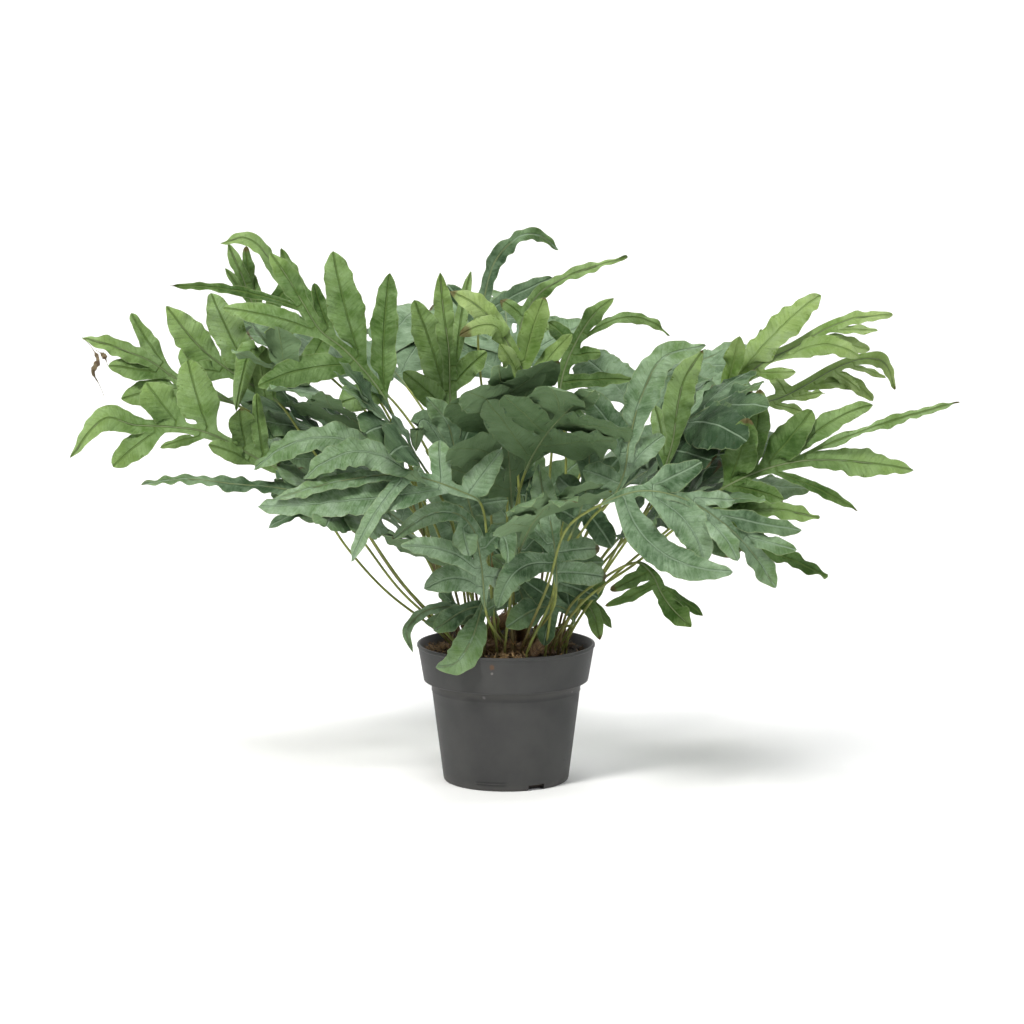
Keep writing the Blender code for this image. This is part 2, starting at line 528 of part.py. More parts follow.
class Frond:
    """A stalk and a lobed blade along one path. Distances are along the path from the stalk's foot."""

    def __init__(self, name, points, knot, face, end_width, taper, shown):
        self.name = name
        self.taper = taper
        self.path = Path(points)
        self.blade = self.path.knots[knot]
        self.face = Vector(face).normalized()
        self.end_width = end_width
        self.shown = shown
        self.lobes = []
        self.stations = []
        self.frames = {}

    def lobe_room(self):
        """The distances between which lobes may leave the rib."""
        return self.blade + 0.004, self.path.length - min(0.045, 0.42 * (self.path.length - self.blade))

    def set_stations(self):
        """Distances where the rib has a section: along the stalk, at lobe bases, and along the end lobe."""
        marks = {round(lobe.start, 6) for lobe in self.lobes} | {round(lobe.end, 6) for lobe in self.lobes}
        first = min(marks) if marks else self.blade + 0.006
        last = max(marks) if marks else first
        steps = max(3, round(self.blade / 0.075))
        bends = [self.blade * k / steps for k in range(1, steps)]
        stalk = [0.0] + [s for s in bends if s > STALK_STRAIGHT]
        end = self.path.length - last
        pieces = max(3, min(6, round(end / 0.026)))
        tail = [last + end * k / pieces for k in range(1, pieces)]
        if not marks:
            marks = {first}
        middle = sorted(marks)
        filled = [middle[0]]
        for mark in middle[1:]:
            gap = mark - filled[-1]
            extra = int(gap / 0.045)
            filled += [filled[-1] + gap * k / (extra + 1) for k in range(1, extra + 1)]
            filled.append(mark)
        if first - self.blade > 0.004 and self.blade > STALK_STRAIGHT:
            stalk.append(self.blade)
        self.stations = [s for s in stalk if s < first - 0.003] + filled + tail
        self.end_start = last

    def half_width(self, s):
        """How wide the stalk, the winged rib and the end lobe are on each side."""
        if s <= self.blade:
            return STALK_RADIUS
        if s <= self.end_start:
            grow = min(1.0, (s - self.blade) / 0.03)
            return STALK_RADIUS + (WING - STALK_RADIUS) * grow
        t = (s - self.end_start) / (self.path.length - self.end_start)
        wide = self.end_width / 2
        if t < 0.4:
            return WING + (wide - WING) * math.sin(math.pi / 2 * t / 0.4)
        return wide * max(0.0, 1.0 - ((t - 0.4) / 0.6) ** self.taper) ** 0.8

    def half_depth(self, s):
        if s <= self.blade:
            return STALK_RADIUS
        t = (s - self.blade) / (self.path.length - self.blade)
        return STALK_RADIUS + (VEIN - STALK_RADIUS) * min(1.0, 1.6 * t)

    def set_frames(self):
        """An upper-face direction at each station, carried smoothly up and down from the blade's start."""
        self.frames = {}
        start = min(range(len(self.stations)), key=lambda i: abs(self.stations[i] - self.blade))
        ahead = self.path.heading(self.stations[start])
        normal = square_to(self.face, ahead)
        self.frames[start] = normal
        for i in range(start + 1, len(self.stations)):
            ahead = self.path.heading(self.stations[i])
            carried = square_to(self.frames[i - 1], ahead)
            self.frames[i] = square_to(carried + 0.5 * square_to(self.face, ahead), ahead)
        for i in range(start - 1, -1, -1):
            self.frames[i] = square_to(self.frames[i + 1], self.path.heading(self.stations[i]))

    def ring(self, i, swell=0.0):
        s = self.stations[i]
        place = self.path.at(s)
        ahead = self.path.heading(s)
        normal = self.frames[i]
        side = ahead.cross(normal)
        wide = self.half_width(s) + swell
        deep = self.half_depth(s) + swell
        wave = 0.0
        if s > self.end_start + 0.004:
            share = (s - self.end_start) / (self.path.length - self.end_start)
            wave = 0.0022 * (1 if i % 2 else -1) * math.sin(math.pi * share)
            wide *= 1.0 + (0.07 if i % 2 else -0.05)
        return (place - side * wide + normal * wave, place + normal * deep,
                place + side * wide - normal * wave, place - normal * deep)

    def spine(self, swell=0.0):
        """The stalk, winged rib and end lobe alone, as a body to test against."""
        body = Body()
        before = None
        for i in range(len(self.stations)):
            ring = [body.add(p) for p in self.ring(i, swell)]
            if before:
                body.join(before, ring)
            else:
                body.cap(ring)
            before = ring
        body.close(before, body.add(self.path.at(self.path.length)))
        return body.ready()

    def lobe_rings(self, lobe, swell=0.0):
        """Sections of a lobe from the rib's edge outwards, and its tip."""
        first, last = self.index(lobe.start), self.index(lobe.end)
        corner = 2 if lobe.side > 0 else 0
        low, high = self.ring(first)[corner], self.ring(last)[corner]
        root = (low + high) / 2
        along = (high - low).normalized()
        normal = (self.frames[first] + self.frames[last]).normalized()
        span = (lobe.tip - root).length
        outward = (lobe.tip - root).normalized()
        facing = square_to(normal * (0.4 if self.shown else 1.6) + self.face, outward)
        edge_way = outward.cross(facing)
        if edge_way.dot(along) < 0:
            edge_way = -edge_way
        bend = (root + lobe.tip) / 2 + edge_way * (lobe.bow * span)
        if lobe.via:
            bend = lobe.via * 2 - (root + lobe.tip) / 2
        bend = bend + facing * (lobe.arch * span)
        count = lobe.segments(span, 6 if self.shown else 4)
        rings = [(low, root + normal * VEIN, high, root - normal * VEIN)]
        for k in range(1, count):
            t = 1 - (1 - k / count) ** 1.2
            place = root * (1 - t)**2 + bend * (2 * t * (1 - t)) + lobe.tip * t**2
            ahead = ((bend - root) * (1 - t) + (lobe.tip - bend) * t).normalized()
            up = square_to(normal.lerp(facing, min(1.0, 2.5 * t)), ahead)
            across = square_to(along.lerp(edge_way, min(1.0, 2.5 * t)), ahead)
            across = square_to(across, up)
            sway = 1 if (k + lobe.phase) % 2 else -1
            wide = lobe.width / 2 * lobe_profile(t) * (1.0 + 0.08 * sway) + swell
            deep = VEIN * (1.0 - 0.45 * t) + swell
            wave = 0.0030 * sway * math.sin(math.pi * min(1.0, 0.25 + t))
            rings.append((place - across * wide + up * wave, place + up * deep,
                          place + across * wide - up * wave, place - up * deep))
        return rings, lobe.tip + outward * swell

    def lobe_body(self, lobe, swell=0.0):
        rings, tip = self.lobe_rings(lobe, swell)
        body = Body()
        before = None
        for ring in rings:
            now = [body.add(p) for p in ring]
            if before:
                body.join(before, now)
            before = now
        body.close(before, body.add(tip))
        return body.ready()

    def index(self, distance):
        return min(range(len(self.stations)), key=lambda i: abs(self.stations[i] - distance))

    def body(self):
        """The whole frond as one closed body, its lobes grown from the rib's edges."""
        made = Body()
        count = len(self.stations)
        rings = [self.ring(i) for i in range(count)]
        tops = [made.add(ring[1]) for ring in rings]
        unders = [made.add(ring[3]) for ring in rings]
        for corner, side in ((0, -1), (2, 1)):
            bases = {}
            covered = set()
            for lobe in self.lobes:
                if lobe.side == side and lobe.body:
                    first, last = self.index(lobe.start), self.index(lobe.end)
                    bases[first] = (last, lobe)
                    covered |= set(range(first + 1, last))
            edges = {i: made.add(rings[i][corner]) for i in range(count) if i not in covered}
            i = 0
            while i < count - 1:
                if i in bases:
                    last, lobe = bases[i]
                    self.grow_lobe(made, lobe, (edges[i], edges[last]), tops[i:last + 1], unders[i:last + 1])
                    i = last
                else:
                    made.half(edges[i], edges[i + 1], tops[i], tops[i + 1], unders[i], unders[i + 1])
                    i += 1
            if side < 0:
                left = edges
            else:
                right = edges
        tip = made.add(self.path.at(self.path.length))
        made.close((left[count - 1], tops[-1], right[count - 1], unders[-1]), tip)
        made.cap((left[0], tops[0], right[0], unders[0]))
        return made

    def grow_lobe(self, made, lobe, edges, tops, unders):
        """A lobe on a stretch of the rib's edge, whose two faces fan out to the rib's vein."""
        rings, tip = self.lobe_rings(lobe)
        low, high = edges
        top, under = made.add(rings[0][1]), made.add(rings[0][3])
        made.faces += [(low, tops[0], top), (low, under, unders[0])]
        for k in range(len(tops) - 1):
            made.faces += [(tops[k], top, tops[k + 1]), (unders[k], unders[k + 1], under)]
        made.faces += [(top, high, tops[-1]), (under, unders[-1], high)]
        before = (low, top, high, under)
        for ring in rings[1:]:
            now = [made.add(p) for p in ring]
            made.join(before, now)
            before = now
        made.close(before, made.add(tip))


class Placed:
    """Every body that is already in place, for the search for clear places."""

    def __init__(self):
        self.bodies = []

    def free(self, body):
        return not any(body.crosses(other) for other in self.bodies)


def choose_foot(wanted, feet, blocked):
    """The free place in the soil nearest to a wanted one, searched outwards in rings."""
    for ring in range(0, 40):
        for k in range(max(1, 6 * ring)):
            turn = 2 * math.pi * k / max(1, 6 * ring)
            place = wanted + Vector((math.cos(turn), math.sin(turn))) * (0.003 * ring)
            if place.length > FEET_RADIUS:
                continue
            if any((place - other).length < FEET_APART for other in feet):
                continue
            if any((place - Vector((spot.x, spot.y))).length < reach for spot, reach in blocked):
                continue
            return place
    raise ValueError("no room left in the soil")


def stalk_points(foot, target, via, nudge):
    """Control points from the stalk's foot in its hole to the start of the blade."""
    bottom = Vector((foot.x, foot.y, SOIL_TOP - HOLE_DEPTH + 0.001))
    lean = Vector((target.x - foot.x, target.y - foot.y, 0.0))
    lean = lean * (0.10 / max(0.05, lean.length)) + Vector((0.0, 0.0, 1.0))
    mouth = bottom + lean.normalized() * 0.024
    points = [bottom, mouth]
    if via:
        points += [p + nudge * (0.5 + 0.5 * k / len(via)) for k, p in enumerate(via)]
    else:
        span = (target - mouth).length
        middle = mouth.lerp(target, 0.45) + Vector((0.0, 0.0, 0.12 * span)) + nudge
        points.append(middle)
    return points


def nudges():
    """Small moves of a stalk to try, the smallest first."""
    for size in (0.0, 0.005, 0.010, 0.016, 0.024, 0.034):
        for turn in range(6 if size else 1):
            angle = math.radians(60 * turn)
            yield Vector((size * math.cos(angle), size * math.sin(angle), 0.0))


def settle_spine(make, placed):
    """The first variant of a frond whose stalk and rib are clear of everything in place."""
    for size in (1.0, 0.9, 0.8, 0.7):
        for nudge in nudges():
            frond = make(nudge, size)
            tail = [frond.path.at(frond.path.length * share) for share in (0.8, 0.9, 1.0)]
            if not frond.shown and not all(in_foliage(place) for place in tail):
                continue
            frond.set_stations()
            frond.set_frames()
            if placed.free(frond.spine(CLEAR)):
                return frond
    return None


def assign_bases(frond, wanted):
    """Gives lobes their stretches of the rib on a grid, in order along each side."""
    low, high = frond.lobe_room()
    cells = max(1, int((high - low) / GRID))
    taken = {1: set(), -1: set()}
    for side, distance, tip, via, width, arch, bow, phase in wanted:
        need = 1 if width < 0.0125 else 2
        best = None
        for cell in range(0, cells - need + 1):
            if any(c in taken[side] for c in range(cell, cell + need)):
                continue
            middle = low + GRID * (cell + need / 2)
            if best is None or abs(middle - distance) < best[0]:
                best = (abs(middle - distance), cell)
        if best is None or best[0] > 0.035:
            continue
        cell = best[1]
        taken[side] |= set(range(cell, cell + need))
        start = low + GRID * cell
        frond.lobes.append(Lobe(side, start, start + GRID * need, tip, via, width, arch, bow, phase))


def nearest_distance(path, low, pixel):
    """The distance along a path, past low, where it passes nearest to a pixel."""
    best = (1e9, low)
    for k in range(121):
        s = low + (path.length - low) * k / 120
        x, y = pixel_of(path.at(s))
        best = min(best, (math.hypot(x - pixel[0], y - pixel[1]), s))
    return best[1]


def shown_frond(name, plan, foot, nudge):
    """A frond drawn through the photograph's pixels."""
    ribs = plan["rib"]
    near, far = plan["depth"]
    rib = [sight(p, near + (far - near) * k / (len(ribs) - 1)) for k, p in enumerate(ribs)]
    via = []
    for k, pixel in enumerate(plan["stalk"]):
        share = (k + 1) / (len(plan["stalk"]) + 1)
        via.append(sight(pixel, foot.y + (near - foot.y) * share))
    points = stalk_points(foot, rib[0], via, nudge)
    rib = [p + nudge * 0.5 for p in rib]
    taper = plan.get("taper", 2.1)
    frond = Frond(name, points + rib, len(points), plan["face"], plan["width"] / 1000, taper, True)
    wanted = []
    for k, (base, tip, width, back, *bent) in enumerate(plan["lobes"]):
        s = nearest_distance(frond.path, frond.blade, base)
        root = frond.path.at(s)
        ahead = frond.path.heading(s)
        side_way = ahead.cross(square_to(frond.face, ahead))
        point = sight(tip, root.y + back / 1000)
        side = 1 if side_way.dot(point - root) > 0 else -1
        via = sight(bent[0], (root.y + point.y) / 2) if bent else None
        wanted.append((side, s, point, via, width / 1000, 0.07 if k % 2 else 0.03, 0.05, k))
    assign_bases(frond, wanted)
    return frond


def hidden_frond(name, plan, foot, nudge, size, draw):
    """A frond placed by the seeded rule, arching out from the pot."""
    azimuth, stalk_length, blade_length, lean, droop = plan
    stalk_length, blade_length = stalk_length * size, blade_length * size
    turn = math.radians(azimuth)
    out = Vector((math.cos(turn), math.sin(turn), 0.0))
    up = Vector((0.0, 0.0, 1.0))
    place = Vector((foot.x, foot.y, SOIL_TOP))
    steps = 7
    total = stalk_length + blade_length
    points = []
    for k in range(1, steps + 1):
        share = k / steps
        angle = math.radians(lean * min(1.0, 0.25 + 1.3 * share)
                             + (droop - lean) * max(0.0, share - 0.35) / 0.65)
        place = place + (out * math.sin(angle) + up * math.cos(angle)) * (total / steps)
        points.append(place + nudge * min(1.0, 1.6 * share))
    knot = max(1, round(steps * stalk_length / total)) - 1
    start = stalk_points(foot, points[0], (), Vector((0.0, 0.0, 0.0)))[:2]
    face = up * 0.75 - out * 0.55 + Vector((draw.uniform(-0.5, 0.5), draw.uniform(-0.7, 0.1), 0.0))
    frond = Frond(name, start + points, len(start) + knot, face, draw.uniform(0.022, 0.030), 2.1, False)
    low, high = frond.lobe_room()
    wanted = []
    s = low + GRID * draw.choice((1, 2))
    side = draw.choice((1, -1))
    k = 0
    while s < high - 0.004:
        share = (s - low) / (high - low)
        ahead = frond.path.heading(s)
        normal = square_to(frond.face, ahead)
        side_way = ahead.cross(normal) * side
        angle = math.radians(draw.uniform(50, 64) - 14 * share)
        swell = 0.8 + 0.35 * math.sin(math.pi * min(1.0, share + 0.15))
        length = draw.uniform(0.36, 0.48) * max(0.18, blade_length) * swell
        sag = draw.uniform(-0.22, 0.10)
        way = ahead * math.cos(angle) + side_way * math.sin(angle) + normal * sag
        tip = frond.path.at(s) + way * length
        wanted.append((side, s, tip, None, draw.uniform(0.030, 0.042), draw.uniform(-0.04, 0.12), 0.06, k))
        side = -side
        s += 2 * GRID
        k += 1
    assign_bases(frond, wanted)
    return frond


def lobe_tries(frond, lobe):
    """Variants of a lobe, from the drawn one to ones bent further away or shorter."""
    root = frond.path.at((lobe.start + lobe.end) / 2)
    normal = frond.frames[frond.index(lobe.start)]
    tip, via, width, arch = lobe.tip, lobe.via, lobe.width, lobe.arch
    view = (tip - CAMERA_PLACE).normalized()
    for scale in (1.0, 0.9, 0.78, 0.64, 0.5):
        for move in (0.0, 0.012, -0.012, 0.026, -0.026, 0.042, -0.042, 0.060, -0.060):
            for curve in (0.0, 0.10, -0.10, 0.20):
                way = view if frond.shown else normal
                lobe.tip = root + (tip + way * move - root) * scale
                if via:
                    lobe.via = root + (via + way * (move / 2) - root) * scale
                lobe.width = width * (0.5 + 0.5 * scale)
                lobe.arch = arch + curve
                yield lobe


def settle_lobe(frond, lobe, placed):
    """Bends one lobe clear, or leaves it out where there is no room for it."""
    for tried in lobe_tries(frond, lobe):
        if (tried.tip - frond.path.at(tried.start)).length < 0.018:
            break
        middle = tried.tip.lerp(frond.path.at(tried.start), 0.5)
        if not frond.shown and not (in_foliage(tried.tip) and in_foliage(middle)):
            continue
        if tried.tip.z < POT_HEIGHT + 0.004 and math.hypot(tried.tip.x, tried.tip.y) < RIM_RADIUS:
            continue
        if placed.free(frond.lobe_body(tried, CLEAR)):
            tried.body = frond.lobe_body(tried)
            placed.bodies.append(tried.body)
            return


def wanted_foot(target):
    """Where a frond that reaches to a target would best leave the soil."""
    flat = Vector((target.x, target.y))
    reach = min(0.058, 0.020 + 0.22 * flat.length)
    return flat.normalized() * reach


def lay_out_fronds(placed, blocked):
    """All fronds with their stalks, then their lobes, each clear of the rest."""
    draw = random.Random(FERN_SEED)
    feet, fronds = [], []
    for name, plan in SHOWN.items():
        target = sight(plan["rib"][0], plan["depth"][0])
        foot = choose_foot(wanted_foot(target), feet, blocked)
        frond = settle_spine(lambda nudge, size: shown_frond(name, plan, foot, nudge), placed)
        if frond is None:
            print("no clear way for", name)
            continue
        feet.append(foot)
        fronds.append(frond)
        placed.bodies.append(frond.spine())
    for number, plan in enumerate(HIDDEN, 1):
        turn = math.radians(plan[0])
        target = Vector((math.cos(turn), math.sin(turn), 0.0)) * (0.05 + 0.0022 * plan[3])
        foot = choose_foot(wanted_foot(target), feet, blocked)
        seed = draw.randrange(10**6)
        name = f"inner_{number:02d}"
        frond = settle_spine(
            lambda nudge, size: hidden_frond(name, plan, foot, nudge, size, random.Random(seed)), placed)
        if frond is None:
            print("no clear way for", name)
            continue
        feet.append(foot)
        fronds.append(frond)
        placed.bodies.append(frond.spine())
    for frond in fronds:
        for lobe in frond.lobes:
            settle_lobe(frond, lobe, placed)
        lost = sum(lobe.body is None for lobe in frond.lobes)
        if lost:
            print(frond.name, "left out", lost, "of", len(frond.lobes))
    return fronds


def turned(profile, sides):
    """Points and faces of a closed profile turned round the upright axis."""
    points, faces = [], []
    for k in range(sides):
        turn = 2 * math.pi * k / sides
        for radius, height in profile:
            points.append(Vector((radius * math.cos(turn), radius * math.sin(turn), height)))
    count = len(profile)
    for k in range(sides):
        a, b = k * count, (k + 1) % sides * count
        for i in range(count - 1):
            faces.append((a + i, b + i, b + i + 1, a + i + 1))
    return points, faces


def make_pot():
    """The moulded pot: a tapered body, a stepped collar with a lip, and drain slots at its foot."""
    collar_foot = POT_HEIGHT - COLLAR_HEIGHT
    profile = [
        (BASE_RADIUS - 0.0008, 0.0), (BASE_RADIUS, 0.0010), (BODY_TOP_RADIUS, collar_foot - 0.0020),
        (COLLAR_FOOT_RADIUS - 0.0006, collar_foot), (COLLAR_FOOT_RADIUS, collar_foot + 0.0010),
        (RIM_RADIUS - LIP_PROUD, POT_HEIGHT - LIP_HEIGHT), (RIM_RADIUS, POT_HEIGHT - LIP_HEIGHT + 0.0008),
        (RIM_RADIUS, POT_HEIGHT - 0.0006), (RIM_RADIUS - 0.0006, POT_HEIGHT),
        (RIM_RADIUS - LIP_PROUD - WALL, POT_HEIGHT), (COLLAR_FOOT_RADIUS - WALL, collar_foot + 0.0030),
        (BODY_TOP_RADIUS - WALL, collar_foot), (BASE_RADIUS - WALL, FLOOR)]
    points, faces = turned(profile, POT_SIDES)
    count = len(profile)
    faces.append([k * count for k in range(POT_SIDES)])
    faces.append([k * count + count - 1 for k in reversed(range(POT_SIDES))])
    pot = make_object("pot", points, faces, (0.072, 0.072, 0.073), 0.55, smooth=True)
    pot.data.set_sharp_from_angle(angle=math.radians(35))
    cutters = []
    for k, degrees in enumerate(DRAIN_DEGREES):
        angle = math.radians(degrees)
        slot = bmesh.new()
        bmesh.ops.create_cube(slot, size=1.0)
        bmesh.ops.scale(slot, vec=(0.020, DRAIN_WIDTH, DRAIN_HEIGHT * 2), verts=slot.verts)
        mesh = bpy.data.meshes.new(f"drain_{k}")
        slot.to_mesh(mesh)
        slot.free()
        cutter = bpy.data.objects.new(f"drain_{k}", mesh)
        cutter.location = (BASE_RADIUS * math.cos(angle), BASE_RADIUS * math.sin(angle), 0.0)
        cutter.rotation_euler = (0.0, 0.0, angle)
        cutters.append(cutter)
    cut_away(pot, cutters, "drains")
    return pot


def cut_away(target, cutters, name):
    """Takes a collection of hidden cutters away from an object."""
    group = bpy.data.collections.new(name)
    bpy.context.scene.collection.children.link(group)
    for cutter in cutters:
        group.objects.link(cutter)
        cutter.hide_render = True
        cutter.display_type = "WIRE"
    cut = target.modifiers.new(name, "BOOLEAN")
    cut.operation = "DIFFERENCE"
    cut.operand_type = "COLLECTION"
    cut.collection = group
    cut.solver = "EXACT"


def soil_height(x, y):
    """The uneven top of the soil, by a formula."""
    broad = math.sin(95 * x + 1.3) * math.cos(83 * y)
    return SOIL_TOP + SOIL_BUMP * (broad + 0.5 * math.sin(210 * x - 160 * y))


def soil_reach(pot_radius):
    """How far out soil reaches where the pot's outside has this radius, clear of the wall's facets."""
    return (pot_radius - WALL) * math.cos(math.pi / POT_SIDES) - GAP


def make_soil(fronds, creepers):
    """The root ball and soil that fill the pot, grooved under each rhizome and holed for each stalk."""
    collar_foot = POT_HEIGHT - COLLAR_HEIGHT
    profile = [(soil_reach(BASE_RADIUS), FLOOR + GAP), (soil_reach(BODY_TOP_RADIUS), collar_foot),
               (soil_reach(COLLAR_FOOT_RADIUS), collar_foot + 0.0034),
               (soil_reach(SOIL_EDGE_RADIUS), SOIL_TOP - 0.004)]
    points, faces = turned(profile, SOIL_SIDES)
    count = len(profile)
    faces.append([k * count for k in range(SOIL_SIDES)])
    rings = [[k * count + count - 1 for k in range(SOIL_SIDES)]]
    for radius in (0.080, 0.058, 0.034, 0.012):
        ring = []
        for k in range(SOIL_SIDES if radius > 0.05 else SOIL_SIDES // 2):
            turn = 2 * math.pi * k / (SOIL_SIDES if radius > 0.05 else SOIL_SIDES // 2)
            x, y = radius * math.cos(turn), radius * math.sin(turn)
            points.append(Vector((x, y, soil_height(x, y))))
            ring.append(len(points) - 1)
        rings.append(ring)
    for outer, inner in zip(rings, rings[1:]):
        many, few = len(outer), len(inner)
        for k in range(many):
            after = (k + 1) % many
            if many == few:
                faces.append((outer[k], outer[after], inner[after]))
                faces.append((outer[k], inner[after], inner[k]))
            else:
                near, far = k // 2, (k // 2 + 1) % few
                if k % 2 == 0:
                    faces.append((outer[k], outer[after], inner[near]))
                else:
                    faces.append((outer[k], inner[far], inner[near]))
                    faces.append((outer[k], outer[after], inner[far]))
    points.append(Vector((0.0, 0.0, soil_height(0.0, 0.0))))
    for k, low in enumerate(rings[-1]):
        faces.append((low, rings[-1][(k + 1) % len(rings[-1])], len(points) - 1))
    soil = make_object("soil", points, faces, (0.026, 0.014, 0.007), 0.95)
    cutters = [hole_cutter(frond) for frond in fronds]
    for name, plan in creepers:
        cutters.append(groove_cutter(name, plan))
    cut_away(soil, cutters, "holes")
    return soil


def hole_cutter(frond):
    """A five-sided plug along the straight foot of a stalk, wider than the stalk."""
    foot = frond.path.at(0.0)
    ahead = (frond.path.at(frond.stations[1]) - foot).normalized()
    radius = (STALK_RADIUS + HOLE_CLEARANCE) / math.cos(math.pi / 5)
    plug = bmesh.new()
    bmesh.ops.create_cone(plug, cap_ends=True, segments=5, radius1=radius, radius2=radius, depth=0.050)
    turn = ahead.to_track_quat("Z", "Y").to_matrix().to_4x4()
    bmesh.ops.transform(plug, matrix=Matrix.Translation(foot + ahead * 0.0244) @ turn, verts=plug.verts)
    mesh = bpy.data.meshes.new(f"hole_{frond.name}")
    plug.to_mesh(mesh)
    plug.free()
    return bpy.data.objects.new(f"hole_{frond.name}", mesh)


def groove_cutter(name, plan):
    """A smooth stem a little longer and thicker than a rhizome, to cut its bed in the soil."""
    route = [Vector(place) for place in plan["route"]]
    route[0] += (route[0] - route[1]).normalized() * GROOVE_CLEARANCE
    route[-1] += (route[-1] - route[-2]).normalized() * GROOVE_CLEARANCE
    return tube_object(f"groove_{name}", route, plan["radius"] + GROOVE_CLEARANCE, 10, 0.0)


def tube_points(route, radius, sides, relief):
    """Points and faces of a blunt-ended creeping stem, its scales raised as staggered points."""
    path = Path(route)
    stations = max(6, round(path.length / 0.0080))
    points, faces = [], []
    side = Vector((0.0, 0.0, 1.0)).cross(path.heading(0.0)).normalized()
    for i in range(stations + 1):
        s = path.length * i / stations
        ahead = path.heading(s)
        side = square_to(side, ahead)
        up = ahead.cross(side)
        share = abs(2 * i / stations - 1)
        size = radius * math.sqrt(max(0.12, 1 - share**6))
        for k in range(sides):
            turn = 2 * math.pi * (k + 0.5 * (i % 2)) / sides
            lift = size + relief * (1 if (i + k) % 2 else -0.4)
            points.append(path.at(s) + (side * math.cos(turn) + up * math.sin(turn)) * lift)
    for i in range(stations):
        for k in range(sides):
            a, b = i * sides + k, i * sides + (k + 1) % sides
            if i % 2:
                faces += [(a, b, b + sides), (a, b + sides, a + sides)]
            else:
                faces += [(a, b, a + sides), (b, b + sides, a + sides)]
    faces.append(list(range(sides)))
    faces.append([stations * sides + k for k in reversed(range(sides))])
    return points, faces


def tube_object(name, route, radius, sides, relief):
    points, faces = tube_points(route, radius, sides, relief)
    mesh = bpy.data.meshes.new(name)
    mesh.from_pydata([tuple(p) for p in points], [], faces)
    shape = bmesh.new()
    shape.from_mesh(mesh)
    bmesh.ops.recalc_face_normals(shape, faces=shape.faces)
    shape.to_mesh(mesh)
    shape.free()
    return bpy.data.objects.new(name, mesh)


def make_rhizome(name, plan):
    """A creeping rhizome with golden-brown scales, half sunk in the soil."""
    points, faces = tube_points(plan["route"], plan["radius"], RHIZOME_SIDES, 0.0006)
    return make_object(name, points, faces, (0.20, 0.085, 0.022), 0.9)


def blocked_spots():
    """Places along each rhizome that stalks keep clear of."""
    spots = []
    for plan in RHIZOMES.values():
        path = Path(plan["route"])
        for k in range(13):
            place = path.at(path.length * k / 12)
            if place.z < SOIL_TOP + 0.03:
                spots.append((place, plan["radius"] + 0.0045))
    return spots


def obstacle(points, faces):
    body = Body()
    body.points, body.faces = points, [tuple(f) for f in faces]
    return body.ready()


def leaf_colour(name):
    if name in FRESH_FRONDS:
        return FRESH_LEAF
    return GREEN_LEAF if name in GREEN_FRONDS else BLUE_LEAF


def make_everything():
    clear_scene()
    placed = Placed()
    for plan in RHIZOMES.values():
        creeper = tube_points(plan["route"], plan["radius"] + 0.0008, RHIZOME_SIDES, 0.0006)
        placed.bodies.append(obstacle(*creeper))
    inside = RIM_RADIUS - 0.0036
    rim = [(RIM_RADIUS + GAP, 0.0), (RIM_RADIUS + GAP, POT_HEIGHT + GAP), (inside, POT_HEIGHT + GAP),
           (inside, SOIL_TOP - 0.01)]
    placed.bodies.append(obstacle(*turned(rim, POT_SIDES)))
    fronds = lay_out_fronds(placed, blocked_spots())
    make_pot()
    make_soil(fronds, list(RHIZOMES.items()))
    for name, plan in RHIZOMES.items():
        make_rhizome(name, plan)
    for frond in fronds:
        body = frond.body()
        make_object(f"frond_{frond.name}", body.points, body.faces, leaf_colour(frond.name), 0.6)
    print("fronds", len(fronds), "lobes", sum(lobe.body is not None for f in fronds for lobe in f.lobes))


make_everything()
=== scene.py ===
"""The looks of a blue star fern (Phlebodium aureum) in its grower's pot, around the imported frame.

The fronds are laid out again by the rule that their solids follow, so that each fine blade lies in its
own solid. A blade is one thin waved sheet cut to its rib, with a raised rib and veins, on a round stalk.
Metres, +Z up, the pot's foot on z = 0, and the photograph looking along +Y.
"""
import json
import math
import random

import bmesh
import bpy
import numpy as np
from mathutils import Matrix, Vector, noise
from mathutils.bvhtree import BVHTree


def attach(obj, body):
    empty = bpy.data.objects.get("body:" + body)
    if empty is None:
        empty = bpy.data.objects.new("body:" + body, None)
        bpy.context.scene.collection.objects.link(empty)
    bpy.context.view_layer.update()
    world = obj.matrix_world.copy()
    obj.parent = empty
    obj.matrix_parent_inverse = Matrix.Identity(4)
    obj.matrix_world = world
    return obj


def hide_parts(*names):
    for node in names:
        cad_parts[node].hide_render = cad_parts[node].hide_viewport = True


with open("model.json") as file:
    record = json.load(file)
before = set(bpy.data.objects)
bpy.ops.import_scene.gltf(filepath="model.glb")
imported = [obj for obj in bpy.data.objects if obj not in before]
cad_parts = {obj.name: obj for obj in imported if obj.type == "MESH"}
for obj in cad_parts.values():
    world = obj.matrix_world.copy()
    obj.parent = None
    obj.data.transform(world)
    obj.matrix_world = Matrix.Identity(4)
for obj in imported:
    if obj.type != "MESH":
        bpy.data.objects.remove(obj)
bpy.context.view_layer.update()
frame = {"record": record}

# The camera that the photograph's pixels are read through
CAMERA_PLACE = Vector((0.0064, -3.2, 0.73))
CAMERA_PITCH = math.radians(7.86)
CAMERA_AHEAD = Vector((0.0, math.cos(CAMERA_PITCH), -math.sin(CAMERA_PITCH)))
CAMERA_UP = Vector((0.0, math.sin(CAMERA_PITCH), math.cos(CAMERA_PITCH)))
FOCAL_PIXELS = 3045
IMAGE_CENTRE = (512, 512)

